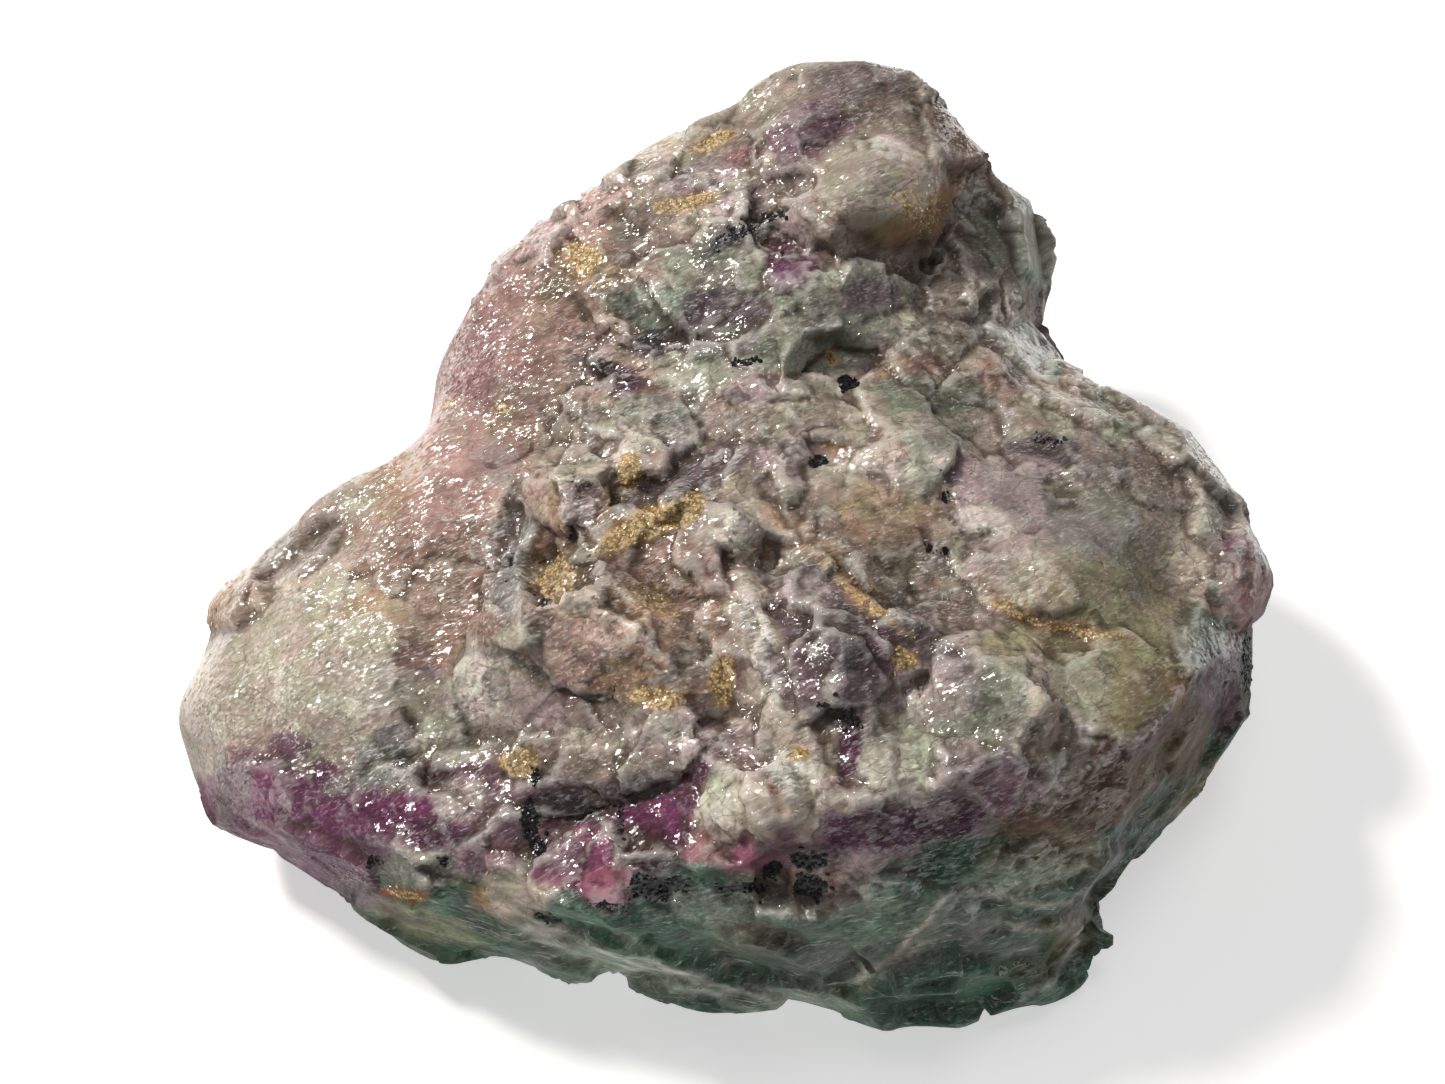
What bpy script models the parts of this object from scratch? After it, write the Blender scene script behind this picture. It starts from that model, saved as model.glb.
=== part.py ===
"""A rough green fluorite specimen: one broken lump of massive fluorite, modelled as a single closed solid.

The lump is a wedge about 150 mm wide, 125 mm deep and 60 mm high. It rests on the flats of its broken
underside. Its knobbly crust faces up and forward, and the steep wall of broken green crystal faces -Y.
+Z is up, and the origin is on the floor under the middle of the lump.
"""

import math

import bmesh
import bpy
import numpy as np
from mathutils import Matrix, Vector, kdtree, noise
from mathutils.bvhtree import BVHTree

MM = 0.001
NAME = "fluorite_specimen"

# The upright sections that the lump is lofted through, in millimetres. Each gives a bearing in degrees from
# +X, the reach of the foot at floor level, the widest point of the wall (its reach and height), and the
# crown, where the wall turns into the crust (its reach and height).
SECTIONS = [
    (0, 63, 73.5, 22, 72.5, 32),
    (5, 62, 71.5, 22, 71, 35),
    (13, 58, 67, 21, 65, 36),
    (20, 55, 62, 22, 59.5, 37),
    (27, 51, 61, 22, 56, 37),
    (34, 50, 62, 21, 52, 38),
    (40, 50, 64, 20, 53, 40),
    (44, 53, 70, 22, 60, 42),
    (48, 56, 79.5, 27, 66, 43),
    (52, 54, 76, 25, 68, 45),
    (58, 52, 66, 32, 65.5, 52),
    (66, 54, 68.5, 36, 69, 57),
    (73, 56, 69, 37, 67.5, 58),
    (84, 55, 64, 35, 61, 54),
    (95, 51, 60.5, 33, 57.5, 53),
    (108, 47, 55, 30, 51.5, 50),
    (120, 45, 54, 28, 52, 47),
    (133, 43, 52, 25, 49, 43),
    (147, 42, 48.5, 22, 44, 40),
    (160, 43, 47.5, 19, 41.5, 37),
    (170, 48, 56, 17, 49, 34),
    (178, 53, 65, 16, 60, 31),
    (185, 60, 71, 16, 69, 26),
    (191, 63, 75, 17, 72.5, 24),
    (197, 67, 80, 17, 73, 27),
    (207, 65, 75.5, 13, 68.5, 26),
    (217, 60.5, 69, 11, 64.5, 26),
    (228, 58, 64, 9, 61, 27),
    (242, 54, 58, 7, 56, 28),
    (256, 52, 55.5, 6, 53, 31),
    (269, 51.5, 54, 4, 50.5, 37),
    (280, 56, 58, 3, 50, 38),
    (292, 61, 65, 3, 51, 39),
    (304, 66, 69.5, 3, 55, 38),
    (313, 69.5, 73, 3, 60, 38),
    (321, 64.5, 68, 3, 61.5, 37),
    (330, 64, 68.5, 6, 62, 36),
    (339, 67, 73.5, 9, 65, 34),
    (349, 67, 75.5, 14, 68.5, 31),
]
BEARINGS = 120
STEPS_PER_SPAN = 5
CENTRE_HEIGHT = 46
# How far the loft goes on below the floor, to be cut off, and the shares of the foot's reach it has there.
UNDERSIDE_DEPTH = 5
UNDERSIDE_SHARES = (0.5, 0.93)
# The shares of the crown's reach at which the crust is given its height, and how late it climbs to a crest.
CRUST_SHARES = (0.85, 0.6, 0.3)
CREST_POWER = 1.2
DIP_POWER = 2

# Rounded knobs of the crust, in millimetres: x, y, half length, half width, rise above the crust, and the
# turn of the length from +X in degrees. They run from the far peak to the front edge.
KNOBS = [
    (11, 58, 11, 6, 1.6, 4),
    (7, 54, 10, 6.5, 1.8, 60),
    (24, 44, 11.5, 9, 5, 30),
    (26, 52, 5.5, 4.5, 1.4, 0),
    (33, 53, 5.5, 4, 1.4, 120),
    (37, 49, 7.5, 4.5, 1.2, 100),
    (-4, 51, 7.5, 3.5, 1.9, 25),
    (-14, 48, 10, 4.5, 1, 32),
    (-7, 44, 9, 3, 2.1, 8),
    (-6, 48, 5.5, 3.5, 1.9, 20),
    (4, 45, 6.5, 4.5, 2.1, 10),
    (-20, 39, 9, 4.5, 1.2, 28),
    (-27, 31, 7.5, 4.5, 1.9, 25),
    (-17, 33, 5.5, 4.5, 2.1, 0),
    (1, 31, 5.5, 5.5, 1.9, 80),
    (-9, 29, 6.5, 4.5, 2.1, 10),
    (20, 29, 7.5, 5.5, 2.3, 20),
    (23, 34, 5.5, 2, 1.7, 5),
    (33, 33, 6.5, 5.5, 1.9, 60),
    (42, 36, 9, 4.5, 2.3, 70),
    (46, 43, 6.5, 4.5, 1.9, 70),
    (-27, 21, 14.5, 8, 2.8, 75),
    (-36, 8, 13, 9, 2.3, 60),
    (-43, -6, 10, 9, 1.9, 50),
    (-12, 21, 6.5, 4, 1.7, 155),
    (-14, 11, 10, 5, 2.7, 165),
    (3, 14, 7.5, 4.5, 2.3, 15),
    (12, 24, 6.5, 5.5, 1.7, 30),
    (29, 24, 9, 5.5, 2.3, 10),
    (27, 12, 6.5, 4.5, 1.9, 40),
    (38, 20, 5.5, 3.5, 2.3, 100),
    (50, 16, 7.5, 5.5, 2.3, 150),
    (60, 9, 7.5, 5.5, 2.3, 130),
    (44, 9, 6.5, 4, 1.9, 5),
    (5, 3, 7, 5, 3, 10),
    (-19, -2, 6, 7.5, 4.7, 10),
    (-12, 2, 3, 2.5, 3, 30),
    (-10, -6, 10, 3, 2.8, 22),
    (0, -8, 7, 4.5, 3.4, 20),
    (11, -15, 6, 3.5, 3.2, 10),
    (-6, -15, 10, 5, 2.1, 155),
    (15, -8, 13, 3.5, 1.7, 135),
    (36, -2, 7.5, 6.5, 3.2, 60),
    (44, -11, 13, 8.5, 4.6, 165),
    (54, -2, 9, 6.5, 3.4, 20),
    (50, 4, 7.5, 4.5, 2.5, 0),
    (68, -7, 6.5, 8.5, 3.2, 90),
    (48, -26, 11, 9, 3.4, 20),
    (44, -33, 4.5, 4, 2.5, 60),
    (14, -26, 10, 9, 5, 60),
    (4.5, -27, 13, 3.5, 4.3, 105),
    (18, -38, 9, 5.5, 3.2, 65),
    (-26, -24, 11, 3.5, 3, 135),
    (-31, -26, 5.5, 4.5, 3, 40),
    (-8, -35, 10, 5.5, 4, 15),
    (-20, -35, 6.5, 4.5, 2.1, 160),
    (-24, -35, 3, 2.5, 2.8, 0),
    (5, -43, 8, 6, 4.8, 20),
    (-15, -47, 9, 5.5, 3.2, 170),
    (-28, -43, 7.5, 5.5, 2.3, 160),
    (-26, -51, 7.5, 3.5, 2.5, 170),
    (-52, -14, 16.5, 11, 2.8, 160),
    (-60, -24, 11, 9, 1.7, 120),
    (-57, -37, 13, 6.5, 2.3, 150),
    (-40, -40, 10, 5.5, 1.7, 160),
    (-64, -8, 7, 4.5, 2, 30),
    (-55, 2, 6.5, 4.5, 1.2, 30),
]
# A knob's ball is this many times deeper than its rise, and at least this share of its width.
KNOB_BURIAL = 1.7
KNOB_ROUNDNESS = 0.45

# Blocks with flat faces, where cubes of crystal stick out of the crust, in millimetres: x, y, length, width,
# rise, turn from +X in degrees, and the tilt of the top about the block's length in degrees.
BLOCKS = [
    (-19, -20, 20, 12, 5.6, -15, -10),
    (-7, -26, 11, 10, 4.2, 5, 8),
    (-17, -13, 8, 5, 3.8, 10, 6),
    (25, 6, 12, 9, 2.8, -12, -20),
    (33, -28, 15, 12, 4.6, 5, -14),
    (31, -39, 15, 9, 3.6, 12, -24),
    (23, -23, 6, 4, 2.9, -50, 10),
    (8, 9, 15, 6, 2.6, 20, -8),
    (-3, 39, 9, 5, 2.6, 30, 6),
    (14, 36, 8, 7, 2.9, -20, -6),
    (-47, -25, 14, 10, 2.8, 15, 8),
    (57, -22, 10, 7, 3.4, 70, -10),
    (10, 50, 10, 6, 2.9, 75, 10),
]
BLOCK_BURIAL = 3

# Hollows in the crust, in millimetres: x, y, half length, half width, depth, and the turn in degrees.
HOLLOWS = [
    (8, 33, 3.6, 4.6, 5.4, 15),
    (-14, 17, 5.5, 2.6, 3.8, 160),
    (-24, -10, 4.0, 6.0, 4.8, 20),
    (-14, -3, 2.2, 3.6, 3.8, 30),
    (-31, -15, 5.0, 3.0, 2.6, 30),
    (6, -12, 2.2, 5.0, 3.0, 40),
    (24, -16, 3.0, 9.0, 2.8, 40),
    (24, -30, 2.5, 7.0, 3.4, 160),
    (-3, 37, 9.0, 2.2, 2.6, 25),
    (-8, 22, 5.0, 3.0, 2.2, 170),
    (12, 18, 5.0, 3.0, 2.4, 20),
    (44, 8, 4.0, 1.8, 2.2, 0),
    (13, 4, 4.0, 1.6, 2.4, 160),
    (-15, -41, 9.0, 2.2, 3.4, 5),
    (12, -47, 6.0, 2.2, 2.8, 20),
    (-6, 49, 4.0, 2.0, 2.2, 30),
    (30, 38, 5.0, 2.4, 2.2, 60),
]

# Hollows broken out of the underside, given the same way. Each starts at the bottom of the loft, so that
# only what is deeper than the part cut off shows.
UNDERSIDE_HOLLOWS = [
    (-28, 12, 21, 11, 8.4, 35),
    (18, 36, 15, 10, 7.8, 80),
    (34, 2, 14, 9, 8.2, 20),
    (26, -34, 20, 9, 8.8, 160),
    (-14, -32, 17, 8, 7.6, 8),
    (-47, -18, 9, 7, 7.2, 60),
]

# Flat cleavage faces broken off the lump, in degrees and millimetres: the bearing that the face looks to, its
# slope above (or below) level, and how deep it bites below the lump's furthest point that way.
CLEAVAGES = [
    (255, 8, 1.8),
    (272, 32, 2.6),
    (285, 12, 2.0),
    (297, 36, 3.2),
    (312, 14, 1.8),
    (328, 30, 2.4),
    (345, 8, 1.6),
    (236, 24, 1.6),
    (218, 12, 1.0),
    (198, 34, 0.8),
    (62, 4, 2.4),
    (90, -14, 3.0),
    (118, -6, 3.0),
    (146, -12, 3.0),
    (172, -16, 3.0),
    (8, -12, 1.6),
]
CLEAVAGE_SOFTNESS = 0.35

WELDED_VOXEL = 1.1
WEAR_PASSES = 3
WEAR_FACTOR = 0.5
# Scallops that the crystal breaks in, as the distance between their middles, the slope that each is tilted
# by, and how hollow each is. The crust has the same shapes turned outwards, as small lumps. The middles are
# strewn in a box around the lump, and a point's height comes from the few that are nearest to it.
WALL_SCALLOPS = (10, 0.2, 0.034)
CRUST_LUMPS = (6, 0.12, 0.045)
NEIGHBOURS = 8
SCALLOP_BOX = [(-95, -80, -20), (95, 90, 80)]
SEED = 17
# The wall turns into the crust between these two values of how far a face looks up, as the Z of its normal.
CRUST_TURNS = (0.35, 0.75)
# Roughness in three sizes, as (wavelength, height) in millimetres.
ROUGHNESS = [(24, 1.2), (9, 0.5), (4.5, 0.2)]
TRIANGLES = 11200
CUT_MARGIN = 30
# How far the lump is moved over, along X and Y in millimetres, so that its box is centred on the origin.
CENTRING = (-0.72, -3.34)


def remove_objects():
    """Empties the scene."""
    for obj in list(bpy.data.objects):
        bpy.data.objects.remove(obj, do_unlink=True)


def new_object(name, data, collection):
    """An object for this mesh, in this collection."""
    obj = bpy.data.objects.new(name, data)
    collection.objects.link(obj)
    return obj


def through(points, steps):
    """A smooth line that passes through every point, as a Catmull-Rom spline."""
    points = np.asarray(points, float)
    padded = np.vstack([2 * points[0] - points[1], points, 2 * points[-1] - points[-2]])
    line = []
    for i in range(1, len(padded) - 2):
        before, start, end, after = padded[i - 1 : i + 3]
        for t in np.arange(steps) / steps:
            linear = (end - before) * t
            square = (2 * before - 5 * start + 4 * end - after) * t**2
            cube = (3 * start - before - 3 * end + after) * t**3
            line.append(0.5 * (2 * start + linear + square + cube))
    line.append(points[-1])
    return np.array(line)


def crust_height(share, crown_height):
    """The height of the crust at this share of the way out from the middle to the crown."""
    rise = crown_height - CENTRE_HEIGHT
    if rise > 0:
        return CENTRE_HEIGHT + rise * math.sin(math.pi / 2 * share**CREST_POWER)
    return CENTRE_HEIGHT + rise * share**DIP_POWER


def section_profile(bearing):
    """(reach, height) points of one section, from under the foot up the wall and in towards the middle."""
    table = np.array(SECTIONS, float)
    foot, girdle, girdle_z, crown, crown_z = (
        np.interp(bearing, table[:, 0], table[:, column], period=360) for column in range(1, 6)
    )
    stations = [(foot * share, -UNDERSIDE_DEPTH) for share in UNDERSIDE_SHARES]
    stations += [(foot, 0), (girdle, girdle_z), (crown, crown_z)]
    stations += [(crown * share, crust_height(share, crown_z)) for share in CRUST_SHARES]
    return through(stations, STEPS_PER_SPAN)


def lofted_lump():
    """The lump without its knobs and hollows, as a closed loft through the sections."""
    mesh = bmesh.new()
    profiles = [section_profile(bearing) for bearing in np.arange(BEARINGS) * 360 / BEARINGS]
    rings = []
    for level in range(len(profiles[0])):
        ring = []
        for i, profile in enumerate(profiles):
            angle = 2 * math.pi * i / BEARINGS
            reach, height = profile[level] * MM
            ring.append(mesh.verts.new((reach * math.cos(angle), reach * math.sin(angle), height)))
        rings.append(ring)
    under = mesh.verts.new((0, 0, -UNDERSIDE_DEPTH * MM))
    top = mesh.verts.new((0, 0, CENTRE_HEIGHT * MM))
    for i in range(BEARINGS):
        j = (i + 1) % BEARINGS
        for lower, upper in zip(rings, rings[1:]):
            mesh.faces.new((lower[i], lower[j], upper[j], upper[i]))
        mesh.faces.new((rings[0][j], rings[0][i], under))
        mesh.faces.new((rings[-1][i], rings[-1][j], top))
    mesh.normal_update()
    return mesh


def seat_on(tree, x, y, turn):
    """The place on the lump under (x, y), as a matrix whose Z points out of the surface."""
    point, normal, _, _ = tree.ray_cast(Vector((x, y, 100)) * MM, Vector((0, 0, -1)))
    along = Vector((math.cos(math.radians(turn)), math.sin(math.radians(turn)), 0))
    side = normal.cross(along).normalized()
    along = side.cross(normal)
    frame = Matrix((along, side, normal)).transposed().to_4x4()
    frame.translation = point
    return frame


def add_shape(mesh, shape, place):
    """Adds a copy of a unit shape to the mesh, at this place."""
    copy = shape.copy()
    copy.transform(place)
    mesh.from_mesh(copy)
    bpy.data.meshes.remove(copy)


def knob_place(frame, length, width, rise):
    """Where a unit ball becomes a rounded knob, sunk into the lump until only its rise shows."""
    depth = max(KNOB_BURIAL * rise, KNOB_ROUNDNESS * width)
    place = frame @ Matrix.Translation((0, 0, (rise - depth) * MM))
    return place @ Matrix.Diagonal((length * MM, width * MM, depth * MM, 1))


def block_place(frame, length, width, rise, tilt):
    """Where a unit cube becomes a block of crystal, sunk into the lump, with its top tilted."""
    depth = BLOCK_BURIAL * rise
    place = frame @ Matrix.Translation((0, 0, (rise - depth / 2) * MM))
    place @= Matrix.Rotation(math.radians(tilt), 4, "X")
    return place @ Matrix.Diagonal((length * MM, width * MM, depth * MM, 1))


def unit_shape(name, add):
    """A mesh of one unit shape, made by this bmesh operator."""
    mesh = bmesh.new()
    add(mesh)
    data = bpy.data.meshes.new(name)
    mesh.to_mesh(data)
    mesh.free()
    return data


def welded_lump(collection):
    """The loft with its knobs and blocks grown into one skin of even quads."""
    mesh = lofted_lump()
    tree = BVHTree.FromBMesh(mesh)
    ball = unit_shape("ball", lambda made: bmesh.ops.create_icosphere(made, subdivisions=4, radius=1))
    cube = unit_shape("cube", lambda made: bmesh.ops.create_cube(made, size=1))
    for x, y, length, width, rise, turn in KNOBS:
        add_shape(mesh, ball, knob_place(seat_on(tree, x, y, turn), length, width, rise))
    for x, y, length, width, rise, turn, tilt in BLOCKS:
        add_shape(mesh, cube, block_place(seat_on(tree, x, y, turn), length, width, rise, tilt))
    data = bpy.data.meshes.new(NAME)
    mesh.to_mesh(data)
    mesh.free()
    obj = new_object(NAME, data, collection)
    weld = obj.modifiers.new("weld", "REMESH")
    weld.mode = "VOXEL"
    weld.voxel_size = WELDED_VOXEL * MM
    wear = obj.modifiers.new("wear", "SMOOTH")
    wear.factor = WEAR_FACTOR
    wear.iterations = WEAR_PASSES
    bake_modifiers(obj)
    return obj


def bake_modifiers(obj):
    """Makes what the modifiers give the object's own mesh."""
    evaluated = obj.evaluated_get(bpy.context.evaluated_depsgraph_get())
    data = bpy.data.meshes.new_from_object(evaluated)
    obj.modifiers.clear()
    obj.data = data


def points_and_normals(obj):
    """The object's vertices in millimetres, and their normals."""
    count = len(obj.data.vertices)
    points = np.empty(count * 3)
    normals = np.empty(count * 3)
    obj.data.vertices.foreach_get("co", points)
    obj.data.vertex_normals.foreach_get("vector", normals)
    return points.reshape(-1, 3) / MM, normals.reshape(-1, 3)


def set_points(obj, points):
    """Moves the object's vertices to these points, in millimetres."""
    obj.data.vertices.foreach_set("co", (points * MM).ravel())
    obj.data.update()


def smooth_step(low, high, value):
    """0 below low, 1 above high, and a smooth rise between them."""
    share = np.clip((value - low) / (high - low), 0, 1)
    return share * share * (3 - 2 * share)


def sink_hollows(points, hollows, faces, way):
    """Presses the hollows into the chosen faces, up (1) or down (-1)."""
    for x, y, length, width, depth, turn in hollows:
        angle = math.radians(turn)
        east, north = points[:, 0] - x, points[:, 1] - y
        along = (east * math.cos(angle) + north * math.sin(angle)) / length
        across = (north * math.cos(angle) - east * math.sin(angle)) / width
        share = np.clip(1 - along**2 - across**2, 0, 1)
        points[:, 2] += way * depth * share * faces
    return points


def cut_cleavages(points):
    """Flattens what stands out past each cleavage plane, nearly down to the plane."""
    for bearing, slope, bite in CLEAVAGES:
        turn, rise = math.radians(bearing), math.radians(slope)
        outward = np.array([math.cos(turn) * math.cos(rise), math.sin(turn) * math.cos(rise), math.sin(rise)])
        standing = points @ outward
        excess = np.clip(standing - standing.max() + bite, 0, None)
        points = points - np.outer(excess * (1 - CLEAVAGE_SOFTNESS), outward)
    return points


def scallops(points, spacing, slope, hollow):
    """A height at each point that makes scallops with sharp ridges between them, each tilted its own way."""
    random = np.random.default_rng(SEED)
    low, high = np.array(SCALLOP_BOX, float)
    count = int(np.prod((high - low) / spacing))
    middles = random.uniform(low, high, (count, 3))
    tilts = random.normal(size=(count, 3))
    tilts *= slope / np.linalg.norm(tilts, axis=1, keepdims=True)
    tree = kdtree.KDTree(count)
    for i, middle in enumerate(middles):
        tree.insert(middle, i)
    tree.balance()
    near = np.array([[index for _, index, _ in tree.find_n(point, NEIGHBOURS)] for point in points])
    offsets = points[:, None, :] - middles[near]
    heights = (offsets * tilts[near]).sum(axis=2) + hollow * (offsets**2).sum(axis=2)
    return heights.min(axis=1)


def roughness(points):
    """The uneven surface of the whole lump, in several sizes of noise."""
    heights = np.zeros(len(points))
    for wavelength, height in ROUGHNESS:
        heights += height * np.array([noise.noise(Vector(point / wavelength)) for point in points])
    return heights


def weather(obj):
    """Gives the welded lump its hollows, cleavage faces, scallops and roughness."""
    points, normals = points_and_normals(obj)
    points = sink_hollows(points, HOLLOWS, normals[:, 2] > 0, -1)
    points = sink_hollows(points, UNDERSIDE_HOLLOWS, points[:, 2] < 0, 1)
    points = cut_cleavages(points)
    wall = 1 - smooth_step(*CRUST_TURNS, normals[:, 2])
    broken = scallops(points, *WALL_SCALLOPS)
    lumpy = -scallops(points, *CRUST_LUMPS)
    lift = wall * (broken - broken.mean()) + (1 - wall) * (lumpy - lumpy.mean())
    lift += roughness(points)
    points = points + normals * lift[:, None]
    set_points(obj, points + np.array([*CENTRING, 0]))


def thin_out(obj):
    """Keeps about the wanted number of triangles, the small ones where the surface bends."""
    obj.data.calc_loop_triangles()
    thin = obj.modifiers.new("thin", "DECIMATE")
    thin.ratio = TRIANGLES / len(obj.data.loop_triangles)
    bake_modifiers(obj)


def cut_base(obj, cutters):
    """Cuts the lump off level with the floor, so that it rests on the flats of its underside."""
    mesh = bmesh.new()
    side = 2 * (max(section[2] for section in SECTIONS) + CUT_MARGIN) * MM
    depth = CUT_MARGIN * MM
    place = Matrix.Translation((0, 0, -depth / 2)) @ Matrix.Diagonal((side, side, depth, 1))
    bmesh.ops.create_cube(mesh, size=1, matrix=place)
    data = bpy.data.meshes.new("floor_cutter")
    mesh.to_mesh(data)
    mesh.free()
    cutter = new_object("floor_cutter", data, cutters)
    cutter.hide_render = True
    cutter.display_type = "WIRE"
    cut = obj.modifiers.new("cut_base", "BOOLEAN")
    cut.operation = "DIFFERENCE"
    cut.object = cutter


def fluorite_material():
    """The lump's own finish: cloudy grey green with a glassy shine."""
    material = bpy.data.materials.new("fluorite")
    material.use_nodes = True
    shader = material.node_tree.nodes["Principled BSDF"]
    shader.inputs["Base Color"].default_value = (0.30, 0.31, 0.27, 1)
    shader.inputs["Roughness"].default_value = 0.35
    shader.inputs["Metallic"].default_value = 0
    return material


def main():
    """Builds the specimen."""
    remove_objects()
    collection = bpy.data.collections.new(NAME)
    cutters = bpy.data.collections.new("cutters")
    for made in (collection, cutters):
        bpy.context.scene.collection.children.link(made)
    lump = welded_lump(collection)
    weather(lump)
    thin_out(lump)
    cut_base(lump, cutters)
    lump.data.materials.clear()
    lump.data.materials.append(fluorite_material())


main()
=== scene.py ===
"""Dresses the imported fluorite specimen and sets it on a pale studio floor.

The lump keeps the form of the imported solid. Its skin is made finer, broken into flat breaks, ledges and
knobs, and coloured patch by patch as the specimen's best side shows it. The sides that the picture hides
are coloured in the bands that the mineral grew in: crust, purple, then green. Small crystal grains are
strewn over the skin.
"""

from __future__ import annotations

import logging
import math
from dataclasses import dataclass, field
from enum import Enum
from typing import Union

import bmesh
import bpy
import numpy as np
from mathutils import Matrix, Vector
from mathutils.bvhtree import BVHTree
from mathutils.kdtree import KDTree

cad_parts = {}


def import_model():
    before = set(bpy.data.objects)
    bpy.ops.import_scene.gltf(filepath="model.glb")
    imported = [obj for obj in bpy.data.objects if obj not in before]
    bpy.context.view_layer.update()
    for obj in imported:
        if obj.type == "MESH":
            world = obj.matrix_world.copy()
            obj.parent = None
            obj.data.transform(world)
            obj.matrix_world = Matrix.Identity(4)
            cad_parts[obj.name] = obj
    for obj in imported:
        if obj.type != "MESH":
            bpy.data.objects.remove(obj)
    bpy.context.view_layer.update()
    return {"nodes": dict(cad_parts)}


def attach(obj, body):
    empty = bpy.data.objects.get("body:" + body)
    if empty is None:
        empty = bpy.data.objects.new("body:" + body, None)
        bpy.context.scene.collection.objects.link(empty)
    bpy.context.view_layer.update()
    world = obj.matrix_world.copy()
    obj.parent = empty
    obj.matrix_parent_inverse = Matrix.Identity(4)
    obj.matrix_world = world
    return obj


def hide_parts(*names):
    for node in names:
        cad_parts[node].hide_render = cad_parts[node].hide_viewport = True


LOG = logging.getLogger("specimen")
MM = 0.001
NODE = "fluorite_specimen"
TINY = 1e-9
FAR = 1e9
WHITE = (1.0, 1.0, 1.0)
# How bright red, green and blue light are, and how much of each is taken from steep green walls as painted
# shade.
BRIGHTNESS = (0.3, 0.55, 0.15)
GREEN_WALL_SHADE = (0.20, 0.08, 0.13)
Rgb = tuple[float, float, float]
Socket = bpy.types.NodeSocket
Value = Union[Socket, float, Rgb]


class Tone(Enum):
    """The colours of the stone, as red, green and blue from 0 to 255."""

    CREAM = (186, 176, 160)
    PALE = (214, 208, 196)
    BEIGE = (170, 160, 146)
    TAUPE = (136, 124, 114)
    PINK = (172, 142, 134)
    BLUSH = (192, 168, 154)
    ROSE = (148, 112, 112)
    PINK_BROWN = (154, 128, 116)
    TAN = (172, 145, 114)
    AMBER = (150, 118, 84)
    OCHRE = (208, 174, 116)
    RUST = (156, 84, 30)
    BROWN = (108, 84, 66)
    OLIVE_BROWN = (98, 84, 58)
    STEEL = (138, 136, 134)
    SMOKE = (98, 88, 92)
    CHARCOAL = (64, 60, 64)
    BLACK = (24, 22, 24)
    LILAC = (172, 156, 156)
    MAUVE = (118, 94, 104)
    PLUM = (80, 46, 68)
    PURPLE = (100, 52, 84)
    MAGENTA = (140, 80, 112)
    ORCHID = (168, 106, 128)
    SEAFOAM = (140, 154, 140)
    PALE_GREEN = (184, 184, 168)
    GREEN = (76, 112, 94)
    DEEP_GREEN = (52, 82, 66)
    OLIVE = (92, 94, 66)
    MOSS = (148, 142, 112)
    GREY_GREEN = (142, 144, 130)
    FROST = (232, 230, 224)


class Mark(Enum):
    """What can lie on the stone, each kept as a mask on the skin."""

    CRUMB = "crumb"
    OXIDE = "oxide"
    FROST = "frost"


def linear(rgb: Rgb) -> np.ndarray:
    """A screen colour (0 to 255) as linear light."""
    share = np.asarray(rgb, float) / 255
    return np.where(share <= 0.04045, share / 12.92, ((share + 0.055) / 1.055) ** 2.4)


def smooth_step(low: float, high: float, value: np.ndarray) -> np.ndarray:
    """0 at low, 1 at high, with a smooth rise between; low may be the larger of the two."""
    share = np.clip((value - low) / (high - low), 0, 1)
    return share * share * (3 - 2 * share)


def tapered(progress: np.ndarray, share: float) -> np.ndarray:
    """1 along a line, falling to 0 over this share of it at both ends."""
    return smooth_step(0.0, share, progress) * smooth_step(1.0, 1 - share, progress)


def laid_over(colours: np.ndarray, tone: Tone, amount: np.ndarray) -> np.ndarray:
    """The colours with a tone laid over them, by an amount from 0 to 1 for each point."""
    return colours + (linear(tone.value) - colours) * amount[:, None]


def made_plain(obj: bpy.types.Object) -> None:
    """Gives an object the mesh that its modifiers make, and removes them."""
    evaluated = obj.evaluated_get(bpy.context.evaluated_depsgraph_get())
    data = bpy.data.meshes.new_from_object(evaluated)
    obj.modifiers.clear()
    obj.data = data
    data.name = obj.name


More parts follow.
